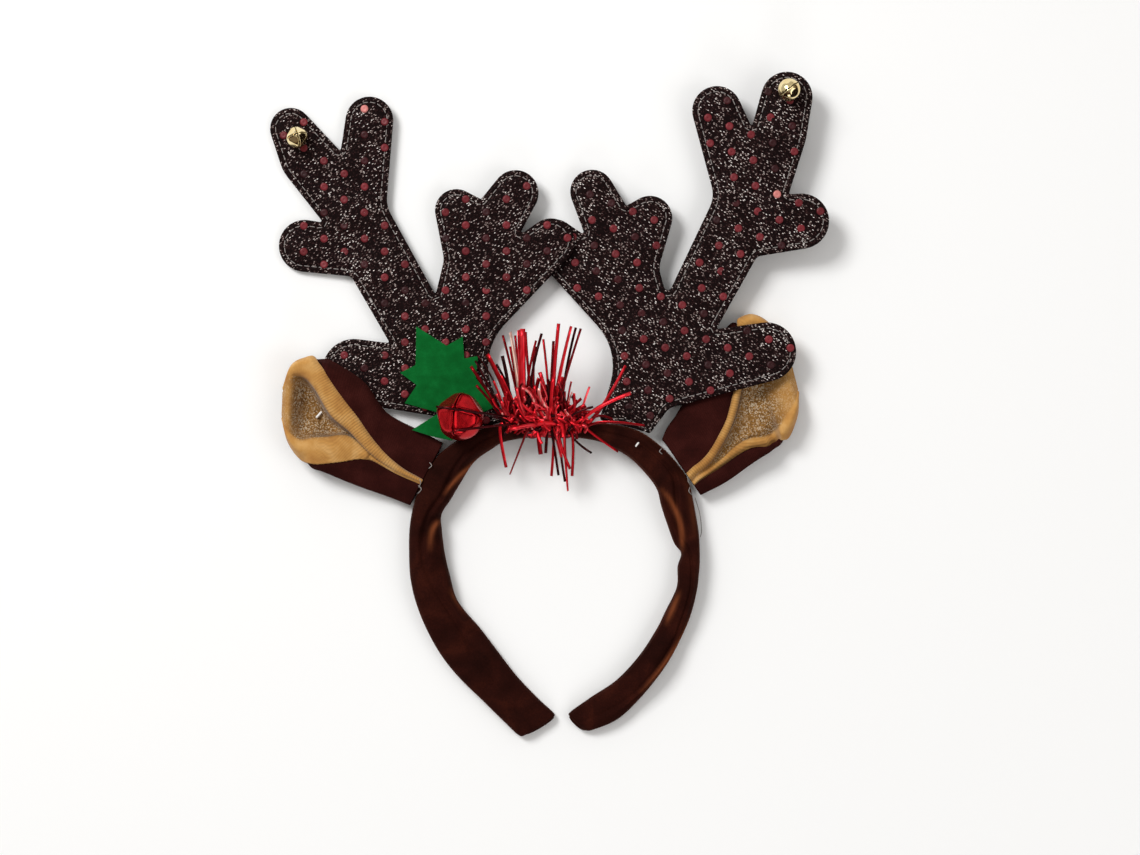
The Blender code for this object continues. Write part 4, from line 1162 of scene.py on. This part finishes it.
def ear_lining(side, lines, shift):
    """The lining's sheet, ribbed across its rolls. A rib's phase is the distance along the
    roll, so the ribs stay square to it. At the turned tip the knit is stretched flat."""
    rows, run = even_lines(lines, "rim_to", EAR_ROWS)
    points = lay_profile(rows, lining_profile(rows))
    corner = np.arange(points.shape[1]) / SHARE_STEPS
    on_roll = 1 - ease((corner - 4.6) / 1.2)
    on_flap = ease((corner - 12.2) / 1.0)
    roll = points[:, 3 * SHARE_STEPS, :2]
    ahead = np.gradient(roll, axis=0)
    ahead = ahead / np.linalg.norm(ahead, axis=1)[:, None]
    along = run[:, None] + ((points[..., :2] - roll[:, None]) * ahead[:, None]).sum(-1)
    wave = np.cos(2 * np.pi * along / RIB_PITCH)
    turned = np.minimum(1 - ease((rows["rim_from"] - 0.01) / 0.15), ease((rows["flap_to"] - 0.955) / 0.03))
    amount = np.maximum(on_roll, 0.6 * on_flap)[None, :] * (1 - 0.85 * turned[:, None])
    points[..., 2] += RIB_HEIGHT * wave * amount
    uneven = LINING_LUMP * ripples(points[..., 0], points[..., 1], LINING_LUMP_LENGTH, shift)
    points[..., 2] += uneven * (1 - amount)
    # Marks for painted shade: grooves between ribs, the hollow (more where it is deeper; it also places
    # the specks) and the crease lines under the roll and beside the flap.
    rib = (0.5 - 0.5 * wave) * amount * 0.55
    hollow = ease((corner - 5.0) / 0.8) * (1 - ease((corner - 12.2) / 1.0))
    depth = ease((rows["rim"] - rows["floor"] - 1.0) / 4.0)[:, None]
    crease_shade = 0.75 * np.exp(-(((corner - 5.7) / 0.7) ** 2)) + 0.5 * np.exp(-(((corner - 12.0) / 0.7) ** 2))
    crease_shade = crease_shade[None] * (1 - 0.7 * turned[:, None])
    marks = {"rib": rib.ravel(), "hollow": (hollow[None] * (0.3 + 0.7 * depth)).ravel(),
             "fold": (crease_shade * depth).ravel()}
    name = f"{side}_ear_lining"
    piece = add_piece(f"{name}_jersey", points.reshape(-1, 3), grid_faces(*points.shape[:2]), jersey,
                      node=name, marks=marks)
    add_wall(piece, LINING_WALL)


def ear_shell(side, lines, shift):
    """The shell's sheet, a little uneven, with knit rows along its UV map in mm."""
    rows, run = even_lines(lines[:SHELL_LINES], "flap_to", SHELL_ROWS)
    points = lay_profile(rows, shell_profile(rows))
    uneven = SHELL_LUMP * ripples(points[..., 0], points[..., 1], SHELL_LUMP_LENGTH, shift)
    points[..., 2] += uneven * ease((points[..., 2] - 3) / 3)
    points[..., 2] = np.maximum(points[..., 2], EAR_BACK)
    steps = np.linalg.norm(np.diff(points, axis=1), axis=-1)
    across = np.concatenate([np.zeros((len(points), 1)), np.cumsum(steps, axis=1)], axis=1)
    uv = np.dstack([np.broadcast_to(run[:, None], across.shape), across]).reshape(-1, 2)
    name = f"{side}_ear_shell"
    piece = add_piece(f"{name}_velour", points.reshape(-1, 3), grid_faces(*points.shape[:2]), velour,
                      node=name, uv=uv)
    add_wall(piece, SHELL_WALL)


for side, lines, shift in (("left", LEFT_EAR_LINES, 71), ("right", RIGHT_EAR_LINES, 72)):
    ear_shell(side, lines, shift)
    ear_lining(side, lines, shift + 10)

# %% [markdown]
# ## Tinsel
#
# The tinsel is a short length of garland tied round the top of the hoop: strips of red
# metallised film that fan out to both sides, with a crumpled heart. The long strips are
# placed one by one. The heart is many short strips in seeded random directions.

# %% Foil material


def red_foil():
    """Metallised film. The tint mark says how each strip faces the light: dark, red or a
    pale flash, as flat film does."""
    made, tree, shader = new_material("red metallised film", "#C8141E", 0.28, metallic=0.7,
                                      specular_ior_level=0.2)
    shade = ramp(tree, mark(tree, "tint"), [
        (0.0, "#1C0406"), (0.22, "#4A060C"), (0.45, "#9A0C16"),
        (0.68, "#D61C28"), (0.88, "#F05058"), (1.0, "#F6D2C0"),
    ])
    tree.links.new(shade, shader.inputs["Base Color"])
    return made


foil = red_foil()

# %% Tinsel
# tip x, y, z, root x, y, width in mm, and tint
LONG_STRIPS = [
    (-17.8, 27.9, 22.0, -12.3, 7.3, 1.0, 0.35),
    (-14.7, 29.0, 27.0, -11.5, 12.5, 2.0, 1.00),
    (-12.9, 27.9, 20.0, -11.2, 10.2, 1.0, 0.40),
    (-11.5, 29.9, 24.0, -10.9, 7.3, 1.2, 0.70),
    (-9.9, 30.4, 25.0, -9.7, 5.5, 2.3, 0.72),
    (-8.7, 29.3, 20.0, -8.0, 8.4, 1.2, 0.62),
    (-4.5, 25.8, 21.0, -10.0, 6.7, 1.0, 0.45),
    (-2.2, 28.5, 25.0, -8.8, 7.3, 1.2, 0.12),
    (-1.6, 26.4, 20.0, 0.6, 9.6, 1.0, 0.55),
    (4.6, 32.5, 24.0, 2.2, 11.3, 1.4, 0.62),
    (2.5, 25.6, 21.0, 1.6, 7.3, 1.1, 0.30),
    (9.6, 31.5, 23.0, 3.4, 8.4, 1.7, 0.66),
    (11.5, 31.0, 22.0, 5.7, 10.2, 1.1, 0.08),
    (13.5, 30.5, 24.0, 4.5, 3.2, 1.1, 0.30),
    (6.1, 11.3, 17.0, 3.4, 1.4, 3.2, 0.72),
    (-24.2, 20.3, 20.0, -14.7, 4.4, 2.2, 0.50),
    (-28.0, 19.7, 22.0, -17.6, 7.3, 0.7, 0.10),
    (-28.9, 17.7, 21.0, -19.9, 2.0, 1.0, 0.06),
    (-30.6, 15.4, 22.0, -19.0, -1.5, 1.3, 0.30),
    (-28.6, 7.8, 20.0, -19.9, -0.9, 1.1, 0.30),
    (-18.1, 19.7, 19.0, -14.7, 7.3, 1.4, 0.05),
    (-20.5, 16.3, 20.0, -13.5, 6.1, 1.0, 0.06),
    (-14.9, 23.5, 18.0, -12.3, 9.0, 1.2, 0.50),
    (-21.6, 9.6, 22.0, -17.6, 0.9, 1.0, 0.60),
    (-18.7, 11.9, 20.0, -14.1, 2.0, 1.1, 0.65),
    (-4.8, 23.5, 19.0, -7.1, 10.2, 1.2, 0.40),
    (-3.0, 13.1, 20.0, 1.0, 2.0, 1.6, 0.70),
    (10.0, 5.2, 18.0, 8.0, 2.0, 0.9, 0.95),
    (17.0, 7.3, 18.0, 14.4, 0.3, 1.0, 0.85),
    (31.5, 15.7, 22.0, 22.5, -2.6, 1.6, 0.70),
    (33.6, 4.6, 24.0, 13.8, -1.7, 1.5, 0.68),
    (39.1, -8.4, 21.0, 18.5, -4.9, 1.2, 0.42),
    (28.6, -18.9, 12.0, 13.8, -9.0, 1.3, 0.60),
    (17.9, -19.5, 12.0, 8.0, -13.7, 1.0, 0.05),
    (-15.2, -9.9, 21.0, 5.7, -4.9, 1.8, 0.72),
    (-16.7, -25.3, 13.0, -21.9, -2.3, 1.3, 0.66),
    (-15.2, -28.2, 12.0, -8.3, -10.8, 1.2, 0.38),
    (-2.7, -20.0, 13.0, -4.2, -10.8, 1.8, 0.42),
    (1.6, -28.8, 11.0, 2.8, -16.6, 1.2, 0.60),
    (4.5, -28.5, 12.0, 2.8, -16.6, 1.0, 0.10),
    (7.1, -31.1, 11.0, 4.5, -15.4, 1.0, 0.12),
    (8.3, -34.9, 10.0, 6.5, -13.7, 1.4, 0.66),
    (10.0, -28.8, 12.0, 11.2, -11.3, 1.2, 0.50),
    (9.2, -25.9, 13.0, 3.9, -14.8, 1.2, 0.62),
    (-0.7, -19.5, 13.0, -0.1, -10.8, 1.3, 0.20),
    (5.7, -21.2, 14.0, 3.4, -10.8, 1.3, 0.70),
    (-5.9, -9.6, 15.0, -1.3, -16.6, 1.4, 0.68),
    (-11.5, -2.6, 20.0, 1.0, -6.1, 1.3, 0.50),
    (21.1, -3.2, 20.0, 9.2, -0.3, 1.2, 0.45),
    (26.6, -6.1, 19.0, 19.6, -1.5, 1.0, 0.30),
    (18.5, -0.9, 21.0, 8.6, -2.6, 1.0, 0.10),
]
# the two dark strips that cross over the red bell: tip, middle and base in mm, then width
# in mm, and tint
BELL_STRANDS = [
    (-44.3, -0.8, 28.5, -33.5, -2.3, 31.2, -16.0, -4.8, 21.0, 0.9, 0.10),
    (-38.5, -10.7, 27.0, -28.5, -9.4, 27.5, -12.0, -7.5, 19.5, 1.0, 0.14),
]
HOOP_TOP = 14.2  # mm, just over the hoop where the garland is tied
CORE_Y = -8.5  # the hoop's middle line there
HEART_FROM, HEART_TO = -17.0, 16.0
HEART_Y = -5.6
HEART_STRIPS = 400
HEART_TINTS = {0.04: 0.15, 0.25: 0.12, 0.48: 0.21, 0.66: 0.31, 0.78: 0.18, 0.90: 0.03}  # and shares
SHORT_REACH, LONG_REACH = (3.0, 8.5), (6.0, 17.0)
FILM_WALL = 0.06
CORE_FROM, CORE_TO = -11.0, 13.5
CORE_RADIUS, CORE_SWELL = 3.4, 0.8
STRIP_POINTS = 14


def film_strips(bases, middles, tips, widths, tints, seed):
    """Each strip is a ribbon along the parabola through its base, middle and tip, three
    points wide with a faint keel, and it turns steadily about its own line."""
    draw = np.random.default_rng(seed)
    count = len(tips)
    t = np.linspace(0, 1, STRIP_POINTS)[None, :, None]
    bases, middles, tips = bases[:, None], middles[:, None], tips[:, None]
    line = (1 - t) * (1 - 2 * t) * bases + 4 * t * (1 - t) * middles + t * (2 * t - 1) * tips
    ahead = np.gradient(line, axis=1)
    ahead = ahead / np.linalg.norm(ahead, axis=2, keepdims=True)
    side = np.cross(ahead, [0.0, 0.0, 1.0])
    side = side / np.maximum(np.linalg.norm(side, axis=2, keepdims=True), 1e-6)
    up = np.cross(side, ahead)
    turn = draw.uniform(-0.5, 0.5, (count, 1, 1)) + draw.normal(0, 0.35, (count, 1, 1)) * t
    flat = np.cos(turn) * side + np.sin(turn) * up
    keel = np.cos(turn) * up - np.sin(turn) * side
    half = widths[:, None, None] / 2
    ribbon = np.stack([line - flat * half, line + keel * half * 0.2, line + flat * half], axis=2)
    faces = grid_faces(STRIP_POINTS, 3)[None] + (np.arange(count) * STRIP_POINTS * 3)[:, None, None]
    marks = np.repeat(tints, STRIP_POINTS * 3) + 0.05 * draw.standard_normal(count * STRIP_POINTS * 3)
    return ribbon.reshape(-1, 3), faces.reshape(-1, 4), np.clip(marks, 0, 1)


def fan_strips():
    """The long strips. Each starts on the hoop's middle line, under the heart, and passes
    through its root, lifted a little, on its way to the tip."""
    rows = np.array(LONG_STRIPS)
    tips, roots = rows[:, :3], rows[:, 3:5]
    draw = np.random.default_rng(80)
    core = np.column_stack([
        np.clip(0.85 * roots[:, 0] + draw.normal(0, 1.0, len(rows)), HEART_FROM, HEART_TO),
        CORE_Y + draw.normal(0, 1.2, len(rows)),
        HOOP_TOP + draw.uniform(0.8, 3.0, len(rows)),
    ])
    way = 0.5 * (core[:, :2] + tips[:, :2])
    middles = np.column_stack([0.45 * roots + 0.55 * way, 0.5 * (core[:, 2] + tips[:, 2]) + 0.8])
    return film_strips(core, middles, tips, rows[:, 5], rows[:, 6], 81)


def heart_strips():
    """Short strips thrown about the garland's middle. Most point any way and are shorter at
    the two ends. The others, on the left, are longer and stand away from the hoop."""
    draw = np.random.default_rng(82)
    at = draw.random(HEART_STRIPS)
    swell = np.sin(np.pi * np.clip(at, 0.08, 0.92))
    centre = np.column_stack([
        HEART_FROM + at * (HEART_TO - HEART_FROM),
        HEART_Y + draw.normal(0, 1.7, HEART_STRIPS),
        HOOP_TOP + draw.uniform(0.6, 4.0, HEART_STRIPS),
    ])
    outward = draw.random(HEART_STRIPS) < 0.4 * ease((0.95 - at) / 0.4)
    heading = np.where(outward, draw.normal(1.75, 0.55, HEART_STRIPS),
                       draw.uniform(0, 2 * np.pi, HEART_STRIPS))
    reach = np.where(outward, draw.uniform(*LONG_REACH, HEART_STRIPS),
                     draw.uniform(*SHORT_REACH, HEART_STRIPS))
    reach *= 0.45 + 0.55 * swell
    away = np.column_stack([
        0.85 * np.cos(heading),
        np.sin(heading),
        draw.uniform(0.05, 0.6, HEART_STRIPS),
    ])
    tips = centre + away * reach[:, None]
    tips[:, 2] = np.maximum(tips[:, 2], np.where(tips[:, 1] > CORE_Y - 5, HOOP_TOP + 0.6, 9.0))
    tips[:, 2] = np.minimum(tips[:, 2], HOOP_TOP + 10.0)
    middles = 0.5 * (centre + tips) + draw.normal(0, 0.08, (HEART_STRIPS, 3)) * reach[:, None]
    middles[:, 2] = np.maximum(middles[:, 2] + 0.6, HOOP_TOP + 0.8)
    tint = draw.choice(list(HEART_TINTS), HEART_STRIPS, p=list(HEART_TINTS.values()))
    return film_strips(centre, middles, tips, draw.uniform(0.7, 1.7, HEART_STRIPS), tint, 83)


def core_band():
    """The twisted core the strips are caught in: a red band over the hoop, its section an
    arch that reaches down both sides."""
    x = np.linspace(CORE_FROM, CORE_TO, 60)[:, None]
    arch = np.radians(np.linspace(-20, 180, 24))[None, :]
    puff = 1 + 0.10 * ripples(x * np.ones_like(arch), 5 * arch * np.ones_like(x), 4.0, 84)
    taper = ease((x - CORE_FROM) / 5.0) * ease((CORE_TO - x) / 5.0)
    y = CORE_Y - (CORE_RADIUS + CORE_SWELL * taper) * np.cos(arch) * puff
    z = HOOP_TOP - 3.0 + (CORE_RADIUS + CORE_SWELL * taper) * np.sin(arch) * puff
    grid = np.dstack([x * np.ones_like(arch), y, z])
    marks = np.clip(0.35 + 0.25 * ripples(grid[..., 0], 3 * grid[..., 1], 2.0, 85), 0, 1)
    return grid.reshape(-1, 3), grid_faces(*grid.shape[:2]), marks.ravel()


def tinsel():
    """Core, heart, fans and the strips over the bell, joined as one piece."""
    rows = np.array(BELL_STRANDS)
    strands = film_strips(rows[:, 6:9], rows[:, 3:6], rows[:, :3], rows[:, 9], rows[:, 10], 86)
    parts = [core_band(), heart_strips(), fan_strips(), strands]
    points, faces, marks = [], [], []
    for part_points, part_faces, part_marks in parts:
        faces.append(part_faces + sum(len(earlier) for earlier in points))
        points.append(part_points)
        marks.append(part_marks)
    piece = add_piece("tinsel_strips", np.vstack(points), faces, foil, node="tinsel",
                      marks={"tint": np.concatenate(marks)})
    add_wall(piece, FILM_WALL)


tinsel()

# %% [markdown]
# Sewing thread shows where the pieces are tacked together: two short white stitches, small
# grey loops and one loose end. They are thin bent tubes: rings carried along a smooth line.

# %% Threads
THREAD_SIDES = 6


def thread(name, corners, width, finish):
    """A tube round a Catmull-Rom line through the corners. Each ring stands on two
    directions square to the line there."""
    line = smooth_rows(corners, 8)
    ahead = np.gradient(line, axis=0)
    ahead = ahead / np.linalg.norm(ahead, axis=1)[:, None]
    side = np.cross(ahead, [0.0, 0.0, 1.0])
    side = side / np.maximum(np.linalg.norm(side, axis=1), 1e-6)[:, None]
    up = np.cross(side, ahead)
    turn = 2 * np.pi * np.arange(THREAD_SIDES) / THREAD_SIDES
    ring = np.cos(turn)[None, :, None] * side[:, None] + np.sin(turn)[None, :, None] * up[:, None]
    radius = width / 2 * np.concatenate([[0.02], np.ones(len(line) - 2), [0.02]])
    points = line[:, None] + ring * radius[:, None, None]
    faces = grid_faces(len(line), THREAD_SIDES, wrap=True)
    add_piece(name, points.reshape(-1, 3), faces, finish, weld=True)


white_thread, _, _ = new_material("white polyester thread", "#F2F0EC", 0.5)
thread("hoop_tack_stitch", [(35.7, -16.9, 13.3), (36.3, -16.0, 13.9), (37.0, -15.2, 13.3)],
       0.7, white_thread)
thread("ear_tack_stitch", [(-91.4, -2.0, 3.6), (-92.9, -3.6, 4.8), (-94.4, -5.3, 5.0)],
       1.0, white_thread)

# where the ears are sewn to the hoop: three points of each small loop, in mm
EAR_LOOPS = [
    ((-52.9, -29.4, 8.6), (-51.4, -31.2, 10.6), (-52.3, -33.6, 8.8)),
    ((-52.6, -32.6, 8.4), (-51.2, -34.2, 10.2), (-52.9, -36.2, 8.4)),
    ((-54.6, -41.6, 7.0), (-53.6, -43.4, 8.8), (-55.4, -45.2, 6.6)),
    ((-47.9, -23.2, 10.4), (-46.9, -24.6, 12.0), (-48.2, -25.8, 10.6)),
    ((57.0, -29.4, 9.0), (57.2, -31.2, 10.6), (58.4, -32.8, 8.8)),
    ((58.0, -33.2, 8.4), (57.4, -35.0, 10.2), (58.8, -36.6, 8.0)),
    ((46.4, -17.6, 11.2), (45.4, -18.8, 12.2), (46.6, -20.0, 11.6)),
]
for number, loop in enumerate(EAR_LOOPS, 1):
    thread(f"ear_sewing_loop_{number}", loop, 0.35, stitch_thread)
thread("loose_thread_end",
       [(60.0, -37.4, 5.0), (62.0, -44.0, 4.0), (62.9, -50.8, 3.0), (62.4, -54.1, 2.2)],
       0.3, stitch_thread)
